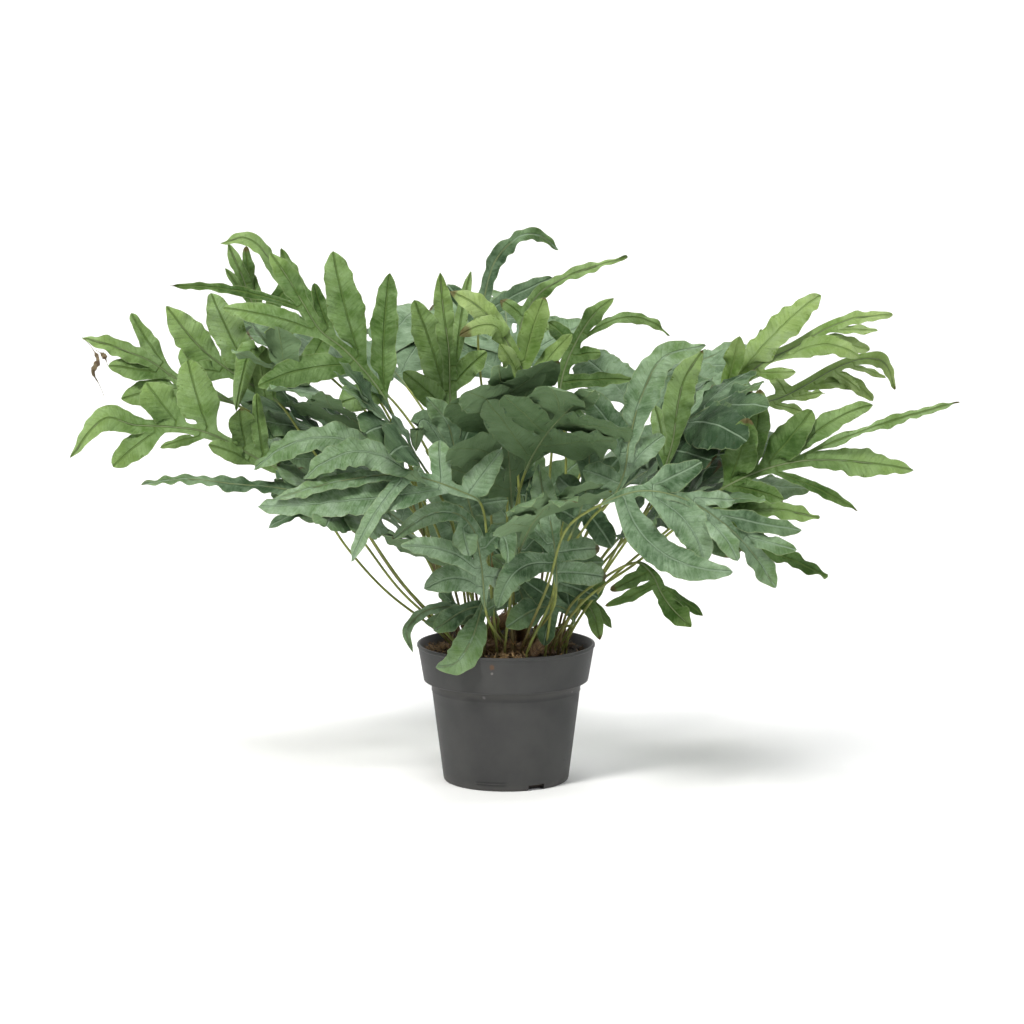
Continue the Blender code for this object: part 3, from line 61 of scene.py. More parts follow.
# The pot, a moulded plastic one with a 0.19 m rim
RIM_RADIUS = 0.0950
COLLAR_FOOT_RADIUS = 0.0880
BODY_TOP_RADIUS = 0.0805
BASE_RADIUS = 0.0668
POT_HEIGHT = 0.1480
COLLAR_HEIGHT = 0.0400
WALL = 0.0020
FLOOR = 0.0030
LIP_HEIGHT = 0.0035
LIP_PROUD = 0.0011
POT_SIDES = 36
DRAIN_WIDTH = 0.0190
DRAIN_HEIGHT = 0.0060
DRAIN_DEGREES = (-61, 29, 119)

# The soil and what creeps over it
GAP = 0.0003
SOIL_TOP = 0.1405
SOIL_BUMP = 0.0022
SOIL_EDGE_RADIUS = 0.0918
HOLE_DEPTH = 0.0160
RHIZOME_SIDES = 8
RHIZOMES = {
    "rhizome_front": (((-0.046, -0.026, 0.142), (-0.012, -0.036, 0.148), (0.018, -0.024, 0.142)), 0.0075),
    "rhizome_hump": (((-0.024, 0.012, 0.141), (-0.010, 0.001, 0.166), (0.009, 0.004, 0.173),
                      (0.018, 0.030, 0.142)), 0.0080),
    "rhizome_right": (((0.027, -0.050, 0.141), (0.040, -0.020, 0.147), (0.036, 0.012, 0.142)), 0.0070),
}

# The fronds
STALK_RADIUS = 0.0014
STALK_STRAIGHT = 0.0240
WING = 0.0072
VEIN = 0.0007
LOBE_WAVE = 0.0030
CLEAR = 0.0004
GRID = 0.0105
BASE_SHIFT = 0.035
SECTION_STEP = 0.021
SHORTEST_LOBE = 0.018
FEET_APART = 0.0085
FEET_RADIUS = 0.0680
FERN_SEED = 41


def plan(stalk, rib, depth, face, width, look, *lobes, taper=2.1):
    """One frond of the photograph, its stalk and rib by rows of pixels."""
    return {"stalk": list(zip(stalk[::2], stalk[1::2])), "rib": list(zip(rib[::2], rib[1::2])),
            "depth": depth, "face": face, "width": width, "look": look, "lobes": lobes, "taper": taper}


# Fronds read from the photograph. Each has the pixels of its stalk and of its rib, the depth of the
# rib's start and tip behind the pot's axis, the way that its upper face looks, the width of its end
# lobe in mm, how pale it is (0 to 1) and how much riper than the rest (-1 to 1), and its lobes. Each
# lobe has its base pixel, its tip pixel, its width in mm, how far the tip lies behind the base in mm,
# and where it is bent the pixel that its middle passes through.
SHOWN = {
    "left_low": plan((385, 590, 345, 545, 318, 502),
        (300, 480, 262, 461, 208, 433, 172, 427, 135, 425, 104, 419, 70, 458), (-0.075, -0.105),
        (0.1, -0.85, 0.5), 27, (0.62, 0.12), (262, 461, 257, 393, 14, -12), (238, 448, 240, 408, 26, -15),
        (207, 433, 188, 360, 37, 12), (176, 427, 146, 382, 36, 8), (250, 456, 208, 445, 20, 22),
        (205, 433, 160, 448, 10, -12), (160, 427, 113, 467, 25, -18), taper=0.9),
    "left_grey": plan((400, 590, 362, 540), (335, 506, 290, 490, 235, 484, 185, 479, 141, 485),
        (-0.135, -0.15), (0.0, -0.55, 0.84), 19, (0.3, -0.1), (320, 500, 276, 470, 18, 50),
        (330, 504, 268, 529, 15, -15)),
    "left_upper": plan((395, 575, 330, 480, 262, 420),
        (235, 404, 205, 391, 175, 378, 150, 361, 112, 346, 82, 337), (0.0, -0.02), (0.15, -0.8, 0.55), 20,
        (0.5, 0.05), (160, 368, 131, 313, 16, 14), (205, 391, 182, 348, 22, 30),
        (160, 368, 108, 366, 24, -10), (182, 381, 121, 399, 27, -14)),
    "left_broad": plan((400, 580, 340, 490, 300, 432), (278, 402, 252, 385, 226, 368, 198, 345, 166, 306),
        (-0.045, -0.055), (0.1, -0.9, 0.42), 33, (0.6, 0.0), (246, 381, 211, 293, 34, 14),
        (272, 398, 262, 345, 26, 18), (268, 395, 236, 412, 25, -24, 252, 350),
        (226, 368, 180, 372, 22, -14)),
    "left_mid": plan((430, 560, 415, 480, 398, 428),
        (388, 404, 372, 380, 345, 350, 320, 330, 303, 303, 286, 275, 270, 253), (-0.1, -0.08),
        (0.1, -0.9, 0.42), 22, (0.35, -0.1), (381, 392, 390, 273, 25, 22), (352, 359, 333, 251, 33, 10),
        (322, 331, 314, 283, 14, 12), (380, 392, 339, 404, 28, -30), (352, 359, 258, 387, 28, 16, 300, 371),
        (318, 326, 223, 308, 22, -12), (304, 304, 170, 286, 9, 14, 235, 291)),
    "left_arch": plan((430, 540, 400, 440, 360, 370),
        (338, 342, 305, 312, 282, 280, 262, 249, 243, 238, 220, 244), (0.045, 0.06), (0.3, -0.7, 0.6), 18,
        (0.25, 0.05), (320, 326, 281, 248, 18, 24), (310, 316, 262, 340, 20, 10),
        (333, 338, 300, 390, 22, -20), (285, 286, 268, 312, 16, -12)),
    "left_sprig": plan((425, 540, 380, 430, 300, 350), (262, 318, 250, 298, 243, 278, 236, 262, 228, 243),
        (0.09, 0.1), (0.1, -0.9, 0.42), 13, (0.3, -0.1), (245, 284, 246, 246, 11, 10),
        (247, 292, 225, 268, 8, -8), (256, 308, 252, 272, 12, 14)),
    "front_left": plan((490, 580, 487, 540),
        (480, 502, 460, 491, 430, 480, 400, 474, 345, 480, 305, 490, 272, 500), (-0.155, -0.19),
        (0.0, -0.75, 0.66), 17, (1.0, 0.05), (466, 494, 502, 449, 26, 14, 480, 479),
        (440, 484, 440, 440, 22, 30), (425, 479, 303, 480, 31, -6, 362, 459),
        (396, 474, 254, 470, 31, 26, 322, 436), (440, 484, 257, 507, 33, -14, 345, 502),
        (400, 474, 351, 562, 15, 20)),
    "top_mid": plan((470, 560, 458, 480), (452, 425, 450, 390, 449, 350, 444, 315, 440, 272), (-0.02, 0.01),
        (0.0, -0.95, 0.3), 21, (0.4, 0.1), (450, 390, 414, 300, 30, 16), (449, 362, 471, 271, 12, 14),
        (451, 408, 403, 372, 24, -14), (450, 378, 487, 352, 22, -20)),
    "centre_yellow": plan((560, 560, 574, 480),
        (567, 420, 549, 388, 534, 361, 518, 333, 494, 306, 466, 291), (-0.06, -0.05), (-0.1, -0.85, 0.5),
        24, (0.6, 0.12), (543, 378, 572, 334, 17, 14), (531, 356, 545, 297, 25, 10),
        (522, 340, 459, 336, 21, -14, 492, 326), (536, 365, 499, 344, 17, -16),
        (552, 394, 513, 379, 15, -10), (556, 402, 572, 352, 17, 26)),
    "centre_arch": plan((492, 540, 486, 430), (478, 335, 486, 290, 497, 258, 521, 236, 540, 236, 559, 250),
        (0.07, 0.09), (-0.4, -0.8, 0.4), 17, (0.25, 0.0), (482, 308, 553, 278, 19, -20),
        (479, 328, 447, 284, 16, 22)),
    "centre_wavy": plan((520, 540, 516, 420), (520, 330, 537, 296, 560, 280, 590, 268, 628, 257),
        (0.04, 0.05), (-0.2, -0.8, 0.55), 13, (0.5, 0.15), (524, 320, 548, 330, 18, -14),
        (521, 330, 500, 300, 14, 22)),
    "back_right": plan((560, 560, 566, 450), (560, 395, 566, 365, 580, 335, 596, 312, 614, 298),
        (0.03, 0.06), (0.0, -0.8, 0.6), 17, (0.25, 0.0), (580, 335, 670, 336, 12, 20, 630, 318),
        (570, 355, 601, 353, 14, -14), (563, 378, 632, 380, 15, 12), (561, 390, 605, 420, 18, -14),
        (574, 347, 548, 322, 18, 20)),
    "front_up": plan((560, 570, 590, 520), (614, 496, 625, 470, 629, 442, 641, 398, 663, 358, 706, 346),
        (-0.19, -0.15), (-0.2, -0.9, 0.35), 31, (0.75, 0.0), (627, 456, 578, 389, 28, -12, 607, 420),
        (622, 480, 583, 470, 24, 24), (627, 462, 664, 436, 22, 20)),
    "front_right": plan((548, 585, 566, 530), (600, 505, 640, 491, 682, 498, 722, 522, 752, 552, 776, 588),
        (-0.235, -0.215), (0.0, -0.82, 0.56), 23, (0.7, -0.05), (648, 491, 702, 462, 25, 16),
        (690, 502, 735, 500, 18, 26), (722, 522, 802, 530, 19, 14), (738, 538, 797, 550, 17, -8),
        (655, 491, 704, 564, 35, -10, 688, 524), (618, 498, 733, 572, 31, -22, 662, 555),
        (712, 515, 738, 561, 20, -14), (615, 499, 607, 541, 24, 10)),
    "right_upper": plan((610, 560, 660, 470, 690, 430),
        (712, 408, 738, 384, 764, 362, 795, 347, 826, 329, 856, 318, 893, 315), (-0.03, -0.01),
        (-0.2, -0.8, 0.55), 14, (0.75, 0.05), (742, 381, 821, 295, 29, 14, 783, 327),
        (726, 395, 740, 336, 20, -16), (832, 326, 878, 331, 10, -8), (812, 337, 870, 350, 17, 10),
        (785, 352, 860, 357, 23, -12, 825, 347), (756, 369, 796, 372, 12, -16, 778, 374),
        (716, 404, 762, 329, 9, 26)),
    "right_straps": plan((590, 580, 640, 520), (664, 470, 673, 440, 677, 410, 685, 378, 703, 350),
        (-0.09, -0.085), (0.1, -0.95, 0.3), 29, (0.55, 0.0), (672, 446, 721, 358, 22, -8),
        (668, 456, 655, 405, 18, 16), (667, 462, 716, 425, 22, 20)),
    "right_mid": plan((620, 550, 680, 470, 722, 425),
        (745, 408, 780, 398, 806, 385, 834, 369, 862, 359, 884, 362, 895, 390), (0.01, 0.03),
        (-0.2, -0.75, 0.62), 15, (0.6, 0.2), (852, 362, 886, 378, 9, -12), (832, 370, 860, 391, 12, -16),
        (812, 381, 873, 401, 19, -8, 848, 381), (794, 391, 826, 393, 10, -10),
        (775, 400, 803, 412, 12, -14), (752, 406, 736, 432, 23, -16), (790, 394, 770, 372, 14, 18)),
    "right_low": plan((600, 590, 650, 545, 695, 508),
        (720, 490, 752, 474, 784, 464, 815, 460, 860, 462, 914, 470), (-0.125, -0.12), (-0.05, -0.85, 0.52),
        28, (0.3, 0.05), (726, 487, 748, 418, 32, -12), (742, 479, 760, 389, 24, 20),
        (764, 470, 812, 410, 30, 8), (795, 462, 873, 405, 20, 14, 830, 424),
        (806, 461, 960, 402, 10, -10, 880, 426), (735, 482, 784, 500, 20, -12),
        (775, 466, 858, 511, 11, -18)),
    "right_lower": plan((585, 600, 640, 560), (676, 528, 705, 515, 740, 511, 780, 510, 820, 518),
        (-0.16, -0.165), (0.0, -0.7, 0.7), 23, (0.3, 0.0), (684, 524, 700, 490, 20, 22),
        (708, 515, 768, 540, 18, -10), (690, 521, 828, 577, 20, -14)),
    "right_drooping": plan((572, 608, 606, 580), (640, 563, 655, 575, 663, 592, 674, 608, 694, 628),
        (-0.13, -0.15), (0.3, -0.8, 0.5), 24, (0.25, -0.15), (660, 586, 605, 606, 10, -10),
        (668, 600, 703, 616, 11, 8), (650, 570, 610, 590, 13, 14), (664, 594, 666, 630, 15, -12)),
    "rim_leaf": plan((), (487, 600, 482, 616, 474, 640, 458, 664, 438, 668), (-0.07, -0.112),
        (0.1, -0.75, 0.65), 31, (0.5, 0.45), (484, 606, 508, 600, 16, 12)),
    "rim_curl": plan((), (470, 612, 452, 607, 425, 611, 407, 630, 413, 653), (-0.05, -0.085),
        (0.2, -0.6, 0.77), 11, (0.55, 0.0), (450, 607, 440, 590, 12, 8)),
    "front_spear": plan((549, 612), (554, 585, 553, 555, 548, 522, 541, 495, 536, 464), (-0.12, -0.14),
        (0.1, -0.97, 0.2), 25, (0.7, 0.0), (553, 566, 498, 608, 25, -16, 516, 572),
        (553, 553, 600, 548, 22, 16), (552, 545, 514, 557, 20, 12, 522, 524), (554, 578, 607, 577, 23, 10)),
    "front_low": plan((), (489, 606, 487, 580, 484, 555, 478, 530, 462, 513, 435, 513, 396, 538),
        (-0.1, -0.15), (0.0, -0.85, 0.52), 19, (0.65, -0.05), (482, 545, 508, 563, 25, -14, 503, 536),
        (485, 566, 401, 546, 21, -8, 442, 550), (468, 518, 470, 556, 22, -18),
        (487, 587, 424, 589, 27, -4, 455, 578), (486, 575, 520, 588, 20, 10), (478, 530, 512, 512, 20, 16)),
    "mid_blue": plan((492, 590, 484, 550), (474, 520, 464, 485, 456, 455, 447, 422, 426, 397),
        (-0.09, -0.105), (0.0, -0.9, 0.42), 24, (0.35, -0.1), (458, 462, 416, 452, 21, -12, 424, 420),
        (454, 448, 484, 402, 32, 12), (462, 478, 504, 450, 24, 10), (468, 500, 430, 478, 22, -14),
        (470, 508, 508, 500, 24, 12)),
    "mid_right": plan((556, 600, 566, 560), (577, 532, 588, 502, 594, 470, 591, 438, 571, 403),
        (-0.13, -0.12), (0.05, -0.92, 0.38), 28, (0.3, -0.1), (590, 495, 619, 458, 24, 14),
        (585, 510, 612, 548, 24, -8), (588, 502, 558, 476, 22, 16), (580, 524, 554, 508, 18, -10)),
    "front_right_small": plan((535, 618), (548, 600, 558, 582, 566, 562, 572, 540, 568, 515),
        (-0.06, -0.09), (0.0, -0.9, 0.4), 20, (0.4, 0.0), (560, 578, 598, 598, 16, -10),
        (566, 560, 604, 562, 20, 12), (569, 550, 540, 528, 18, 10)),
    "low_left": plan((), (500, 616, 488, 606, 466, 610, 436, 630), (-0.052, -0.078), (0.1, -0.8, 0.6), 24,
        (0.3, -0.1), (486, 606, 444, 590, 22, 8), (480, 607, 424, 622, 19, -6),
        (494, 610, 503, 578, 18, 12), (488, 606, 478, 640, 20, 6)),
    "low_right": plan((), (570, 622, 558, 606, 532, 608, 502, 626), (-0.045, -0.07), (0.0, -0.8, 0.6), 28,
        (0.25, -0.1), (548, 605, 520, 578, 22, 16), (552, 605, 543, 650, 18, -4),
        (562, 610, 566, 572, 20, 10)),
    "low_mid": plan((), (527, 622, 524, 604, 518, 586, 508, 568, 492, 556), (0.0, -0.02), (0.0, -0.9, 0.42),
        24, (0.25, -0.1), (523, 600, 556, 590, 22, 10), (522, 596, 478, 606, 24, -6),
        (516, 582, 545, 560, 22, 10), (514, 578, 470, 580, 22, 8)),
    "rim_right": plan((), (570, 618, 580, 603, 592, 611, 600, 640), (-0.02, -0.05), (0.0, -0.8, 0.6), 15,
        (0.3, -0.05), (578, 605, 604, 578, 20, 10), (588, 607, 612, 628, 10, 4)),
}

# What the foliage covers in the photograph, so that hidden fronds don't show outside it
FOLIAGE = ((262, 505), (275, 470), (215, 455), (225, 400), (215, 345), (235, 305), (262, 290), (300, 290),
           (350, 300), (372, 325), (398, 345), (412, 305), (440, 290), (470, 300), (505, 290), (540, 300),
           (560, 320), (600, 325), (604, 395), (625, 430), (660, 400), (668, 355), (705, 348), (740, 340),
           (765, 352), (770, 400), (800, 440), (868, 462), (850, 478), (795, 500), (802, 530), (775, 555),
           (740, 572), (700, 572), (655, 565), (600, 592), (560, 616), (430, 616), (425, 580), (400, 548),
           (345, 537), (290, 527))

# The hidden fronds: azimuth of each in degrees (90 is straight back), length of stalk and blade in
# m, lean of the stalk from upright and of the blade's end from upright, in degrees
HIDDEN = (
    (92, 0.32, 0.25, 18, 78), (124, 0.29, 0.26, 32, 90), (56, 0.29, 0.26, 32, 90),
    (152, 0.32, 0.26, 30, 76), (30, 0.32, 0.26, 30, 76), (90, 0.22, 0.25, 46, 98),
    (140, 0.21, 0.24, 54, 96), (42, 0.21, 0.24, 54, 96), (175, 0.24, 0.26, 34, 74),
    (5, 0.24, 0.26, 34, 74), (200, 0.22, 0.22, 26, 66), (338, 0.22, 0.22, 26, 66),
    (265, 0.19, 0.20, 16, 56), (236, 0.20, 0.20, 26, 64), (300, 0.20, 0.20, 26, 64),
    (74, 0.06, 0.17, 10, 52), (112, 0.05, 0.16, 16, 66), (150, 0.13, 0.20, 46, 92),
    (18, 0.16, 0.20, 50, 94), (250, 0.14, 0.17, 30, 84), (290, 0.14, 0.17, 30, 84),
    (216, 0.15, 0.19, 42, 88), (324, 0.15, 0.19, 42, 88),
)


def sight(pixel, depth):
    """The point at a depth behind the pot's axis that the camera sees at a pixel."""
    across = (pixel[0] - IMAGE_CENTRE[0]) / FOCAL_PIXELS
    rise = (IMAGE_CENTRE[1] - pixel[1]) / FOCAL_PIXELS
    ray = CAMERA_AHEAD + Vector((across, 0.0, 0.0)) + CAMERA_UP * rise
    return CAMERA_PLACE + ray * ((depth - CAMERA_PLACE.y) / ray.y)


def round_at(radius, turn, height=0.0):
    """The point at a radius and a turn about the pot's axis."""
    return Vector((radius * math.cos(turn), radius * math.sin(turn), height))


def pixel_of(point):
    """Where the camera sees a point."""
    from_camera = point - CAMERA_PLACE
    scale = FOCAL_PIXELS / from_camera.dot(CAMERA_AHEAD)
    return IMAGE_CENTRE[0] + from_camera.x * scale, IMAGE_CENTRE[1] - from_camera.dot(CAMERA_UP) * scale


def in_foliage(point):
    """Whether the camera sees a point inside the photograph's foliage."""
    x, y = pixel_of(point)
    inside = False
    for (x0, y0), (x1, y1) in zip(FOLIAGE, FOLIAGE[1:] + FOLIAGE[:1]):
        if (y0 > y) != (y1 > y) and x < x0 + (y - y0) * (x1 - x0) / (y1 - y0):
            inside = not inside
    return inside


def square_to(vector, along):
    """The unit part of a vector that is square to a direction."""
    rest = vector - along * vector.dot(along)
    return rest.normalized() if rest.length > 1e-6 else along.orthogonal().normalized()


class Path:
    """A smooth curve through points, measured along its length."""

    def __init__(self, points, pieces=10):
        points = [Vector(p) for p in points]
        gaps = [(b - a).length for a, b in zip(points, points[1:])]
        slopes = [(points[1] - points[0]) / gaps[0]]
        for i in range(1, len(points) - 1):
            slopes.append((points[i + 1] - points[i - 1]) / (gaps[i] + gaps[i - 1]))
        slopes.append((points[-1] - points[-2]) / gaps[-1])
        self.places = [points[0]]
        for i, gap in enumerate(gaps):
            for k in range(1, pieces + 1):
                t = k / pieces
                self.places.append(
                    points[i] * (2 * t**3 - 3 * t**2 + 1) + slopes[i] * gap * (t**3 - 2 * t**2 + t)
                    + points[i + 1] * (3 * t**2 - 2 * t**3) + slopes[i + 1] * gap * (t**3 - t**2))
        self.marks = [0.0]
        for a, b in zip(self.places, self.places[1:]):
            self.marks.append(self.marks[-1] + (b - a).length)
        self.knots = [self.marks[i * pieces] for i in range(len(points))]
        self.length = self.marks[-1]

    def at(self, distance):
        distance = min(max(distance, 0.0), self.length)
        low, high = 0, len(self.marks) - 1
        while high - low > 1:
            middle = (low + high) // 2
            if self.marks[middle] <= distance:
                low = middle
            else:
                high = middle
        share = (distance - self.marks[low]) / (self.marks[high] - self.marks[low])
        return self.places[low].lerp(self.places[high], share)

    def heading(self, distance):
        reach = 0.003
        return (self.at(distance + reach) - self.at(distance - reach)).normalized()


class Body:
    """Points and triangles of one closed piece, and a tree that finds what it crosses."""

    def __init__(self):
        self.points = []
        self.faces = []

    def add(self, point):
        self.points.append(point)
        return len(self.points) - 1

    def half(self, edge, next_edge, top, next_top, under, next_under):
        """The strip between an edge and the vein, with triangles alike on both faces."""
        self.faces += [(edge, top, next_top), (edge, next_top, next_edge)]
        self.faces += [(edge, next_under, under), (edge, next_edge, next_under)]

    def join(self, ring, after):
        self.half(ring[0], after[0], ring[1], after[1], ring[3], after[3])
        self.half(ring[2], after[2], ring[1], after[1], ring[3], after[3])

    def close(self, ring, tip):
        left, top, right, under = ring
        self.faces += [(left, top, tip), (top, right, tip), (left, tip, under), (under, tip, right)]

    def cap(self, ring):
        self.faces += [(ring[0], ring[1], ring[2]), (ring[0], ring[2], ring[3])]

    def ready(self):
        self.tree = BVHTree.FromPolygons(self.points, self.faces)
        self.low = [min(p[i] for p in self.points) for i in range(3)]
        self.high = [max(p[i] for p in self.points) for i in range(3)]
        return self

    def crosses(self, other):
        """Whether two bodies cross anywhere but at corners that they share."""
        if any(self.low[i] > other.high[i] or other.low[i] > self.high[i] for i in range(3)):
            return False
        for mine, theirs in self.tree.overlap(other.tree):
            corners = [self.points[k] for k in self.faces[mine]]
            shared = any((other.points[k] - c).length < 1e-7 for k in other.faces[theirs] for c in corners)
            if not shared:
                return True
        return False


def closed_body(rings, tip, capped):
    """A body through rings of four corners, closed at its tip and, where asked, at its start."""
    body = Body()
    before = None
    for ring in rings:
        now = [body.add(p) for p in ring]
        if before:
            body.join(before, now)
        elif capped:
            body.cap(now)
        before = now
    body.close(before, body.add(tip))
    return body.ready()


def lobe_profile(t):
    """Half width of a lobe from its base to its tip, as a share of its widest."""
    if t < 0.38:
        return 0.72 + 0.28 * math.sin(math.pi / 2 * t / 0.38)
    return max(0.0, 1.0 - ((t - 0.38) / 0.62) ** 2.2) ** 0.75


class Lobe:
    """One lobe: where it leaves the rib, its tip, and how it bends and waves."""

    def __init__(self, side, start, end, tip, via, width, arch, bow, phase):
        self.side = side
        self.via = via
        self.start = start
        self.end = end
        self.tip = tip
        self.width = width
        self.arch = arch
        self.bow = bow
        self.phase = phase
        self.body = None


class Frond:
    """A stalk and a lobed blade along one path. Distances are along the path from the stalk's foot."""

    def __init__(self, name, points, knot, face, end_width, taper, shown):
        self.name = name
        self.taper = taper
        self.path = Path(points)
        self.blade = self.path.knots[knot]
        self.face = Vector(face).normalized()
        self.end_width = end_width
        self.shown = shown
        self.lobes = []
        self.stations = []
        self.frames = {}

    def lobe_room(self):
        """The distances between which lobes may leave the rib."""
        return self.blade + 0.004, self.path.length - min(0.045, 0.42 * (self.path.length - self.blade))

    def set_stations(self):
        """Distances where the rib has a section: along the stalk, at lobe bases, and along the end lobe."""
        marks = {round(lobe.start, 6) for lobe in self.lobes} | {round(lobe.end, 6) for lobe in self.lobes}
        first = min(marks) if marks else self.blade + 0.006
        last = max(marks) if marks else first
        steps = max(3, round(self.blade / 0.075))
        bends = [self.blade * k / steps for k in range(1, steps)]
        stalk = [0.0] + [s for s in bends if s > STALK_STRAIGHT]
        end = self.path.length - last
        pieces = max(3, min(6, round(end / 0.026)))
        tail = [last + end * k / pieces for k in range(1, pieces)]
        if not marks:
            marks = {first}
        middle = sorted(marks)
        filled = [middle[0]]
        for mark in middle[1:]:
            gap = mark - filled[-1]
            extra = int(gap / 0.045)
            filled += [filled[-1] + gap * k / (extra + 1) for k in range(1, extra + 1)]
            filled.append(mark)
        if first - self.blade > 0.004 and self.blade > STALK_STRAIGHT:
            stalk.append(self.blade)
        self.stations = [s for s in stalk if s < first - 0.003] + filled + tail
        self.end_start = last

    def half_width(self, s):
        """How wide the stalk, the winged rib and the end lobe are on each side."""
        if s <= self.blade:
            return STALK_RADIUS
        if s <= self.end_start:
            grow = min(1.0, (s - self.blade) / 0.03)
            return STALK_RADIUS + (WING - STALK_RADIUS) * grow
        t = (s - self.end_start) / (self.path.length - self.end_start)
        wide = self.end_width / 2
        if t < 0.4:
            return WING + (wide - WING) * math.sin(math.pi / 2 * t / 0.4)
        return wide * max(0.0, 1.0 - ((t - 0.4) / 0.6) ** self.taper) ** 0.8

    def half_depth(self, s):
        if s <= self.blade:
            return STALK_RADIUS
        t = (s - self.blade) / (self.path.length - self.blade)
        return STALK_RADIUS + (VEIN - STALK_RADIUS) * min(1.0, 1.6 * t)

    def set_frames(self):
        """An upper-face direction at each station, carried smoothly up and down from the blade's start."""
        self.frames = {}
        start = min(range(len(self.stations)), key=lambda i: abs(self.stations[i] - self.blade))
        ahead = self.path.heading(self.stations[start])
        normal = square_to(self.face, ahead)
        self.frames[start] = normal
        for i in range(start + 1, len(self.stations)):
            ahead = self.path.heading(self.stations[i])
            carried = square_to(self.frames[i - 1], ahead)
            self.frames[i] = square_to(carried + 0.5 * square_to(self.face, ahead), ahead)
        for i in range(start - 1, -1, -1):
            self.frames[i] = square_to(self.frames[i + 1], self.path.heading(self.stations[i]))

    def ring(self, i, swell=0.0):
        s = self.stations[i]
        place = self.path.at(s)
        ahead = self.path.heading(s)
        normal = self.frames[i]
        side = ahead.cross(normal)
        wide = self.half_width(s) + swell
        deep = self.half_depth(s) + swell
        wave = 0.0
        if s > self.end_start + 0.004:
            share = (s - self.end_start) / (self.path.length - self.end_start)
            wave = 0.0022 * (1 if i % 2 else -1) * math.sin(math.pi * share)
            wide *= 1.0 + (0.07 if i % 2 else -0.05)
        return (place - side * wide + normal * wave, place + normal * deep,
                place + side * wide - normal * wave, place - normal * deep)

    def spine(self, swell=0.0):
        """The stalk, winged rib and end lobe alone, as a body to test against."""
        rings = [self.ring(i, swell) for i in range(len(self.stations))]
        return closed_body(rings, self.path.at(self.path.length), True)

    def lobe_steps(self, span):
        """How many sections a lobe of a length has."""
        return max(3, min(6 if self.shown else 4, round(span / SECTION_STEP)))

    def lobe_line(self, lobe):
        """Where a lobe leaves the rib, how it faces there, and the line that it follows to its tip."""
        first, last = self.index(lobe.start), self.index(lobe.end)
        corner = 2 if lobe.side > 0 else 0
        low, high = self.ring(first)[corner], self.ring(last)[corner]
        root = (low + high) / 2
        along = (high - low).normalized()
        normal = (self.frames[first] + self.frames[last]).normalized()
        span = (lobe.tip - root).length
        outward = (lobe.tip - root).normalized()
        facing = square_to(normal * (0.4 if self.shown else 1.6) + self.face, outward)
        edge_way = outward.cross(facing)
        if edge_way.dot(along) < 0:
            edge_way = -edge_way
        bend = (root + lobe.tip) / 2 + edge_way * (lobe.bow * span)
        if lobe.via:
            bend = lobe.via * 2 - (root + lobe.tip) / 2
        bend = bend + facing * (lobe.arch * span)

        def line(t):
            place = root * (1 - t)**2 + bend * (2 * t * (1 - t)) + lobe.tip * t**2
            ahead = ((bend - root) * (1 - t) + (lobe.tip - bend) * t).normalized()
            up = square_to(normal.lerp(facing, min(1.0, 2.5 * t)), ahead)
            across = square_to(along.lerp(edge_way, min(1.0, 2.5 * t)), ahead)
            return place, ahead, up, square_to(across, up)

        return low, high, outward, normal, root, span, line

    def lobe_body(self, lobe, swell=0.0):
        """A lobe from the rib's edge outwards, as a body to test with."""
        low, high, outward, normal, root, span, line = self.lobe_line(lobe)
        count = self.lobe_steps(span)
        rings = [(low, root + normal * VEIN, high, root - normal * VEIN)]
        for k in range(1, count):
            t = 1 - (1 - k / count) ** 1.2
            place, _, up, across = line(t)
            sway = 1 if (k + lobe.phase) % 2 else -1
            wide = lobe.width / 2 * lobe_profile(t) * (1.0 + 0.08 * sway) + swell
            deep = VEIN * (1.0 - 0.45 * t) + swell
            wave = LOBE_WAVE * sway * math.sin(math.pi * min(1.0, 0.25 + t))
            rings.append((place - across * wide + up * wave, place + up * deep,
                          place + across * wide - up * wave, place - up * deep))
        return closed_body(rings, lobe.tip + outward * swell, False)

    def index(self, distance):
        return min(range(len(self.stations)), key=lambda i: abs(self.stations[i] - distance))


def is_free(body, placed):
    """Whether a body crosses nothing that is already in place."""
    return not any(body.crosses(other) for other in placed)


def choose_foot(wanted, feet, blocked):
    """The free place in the soil nearest to a wanted one, searched outwards in rings."""
    for ring in range(0, 40):
        for k in range(max(1, 6 * ring)):
            turn = 2 * math.pi * k / max(1, 6 * ring)
            place = wanted + Vector((math.cos(turn), math.sin(turn))) * (0.003 * ring)
            near_foot = any((place - other).length < FEET_APART for other in feet)
            near_stem = any((place - Vector((spot.x, spot.y))).length < reach for spot, reach in blocked)
            if place.length <= FEET_RADIUS and not near_foot and not near_stem:
                return place
    raise ValueError("no room left in the soil")


def stalk_points(foot, target, via, nudge):
    """Control points from the stalk's foot in its hole to the start of the blade."""
    bottom = Vector((foot.x, foot.y, SOIL_TOP - HOLE_DEPTH + 0.001))
    lean = Vector((target.x - foot.x, target.y - foot.y, 0.0))
    lean = lean * (0.10 / max(0.05, lean.length)) + Vector((0.0, 0.0, 1.0))
    mouth = bottom + lean.normalized() * 0.024
    points = [bottom, mouth]
    if via:
        points += [p + nudge * (0.5 + 0.5 * k / len(via)) for k, p in enumerate(via)]
    else:
        span = (target - mouth).length
        middle = mouth.lerp(target, 0.45) + Vector((0.0, 0.0, 0.12 * span)) + nudge
        points.append(middle)
    return points


def nudges():
    """Small moves of a stalk to try, the smallest first."""
    for size in (0.0, 0.005, 0.010, 0.016, 0.024, 0.034):
        for turn in range(6 if size else 1):
            angle = math.radians(60 * turn)
            yield Vector((size * math.cos(angle), size * math.sin(angle), 0.0))


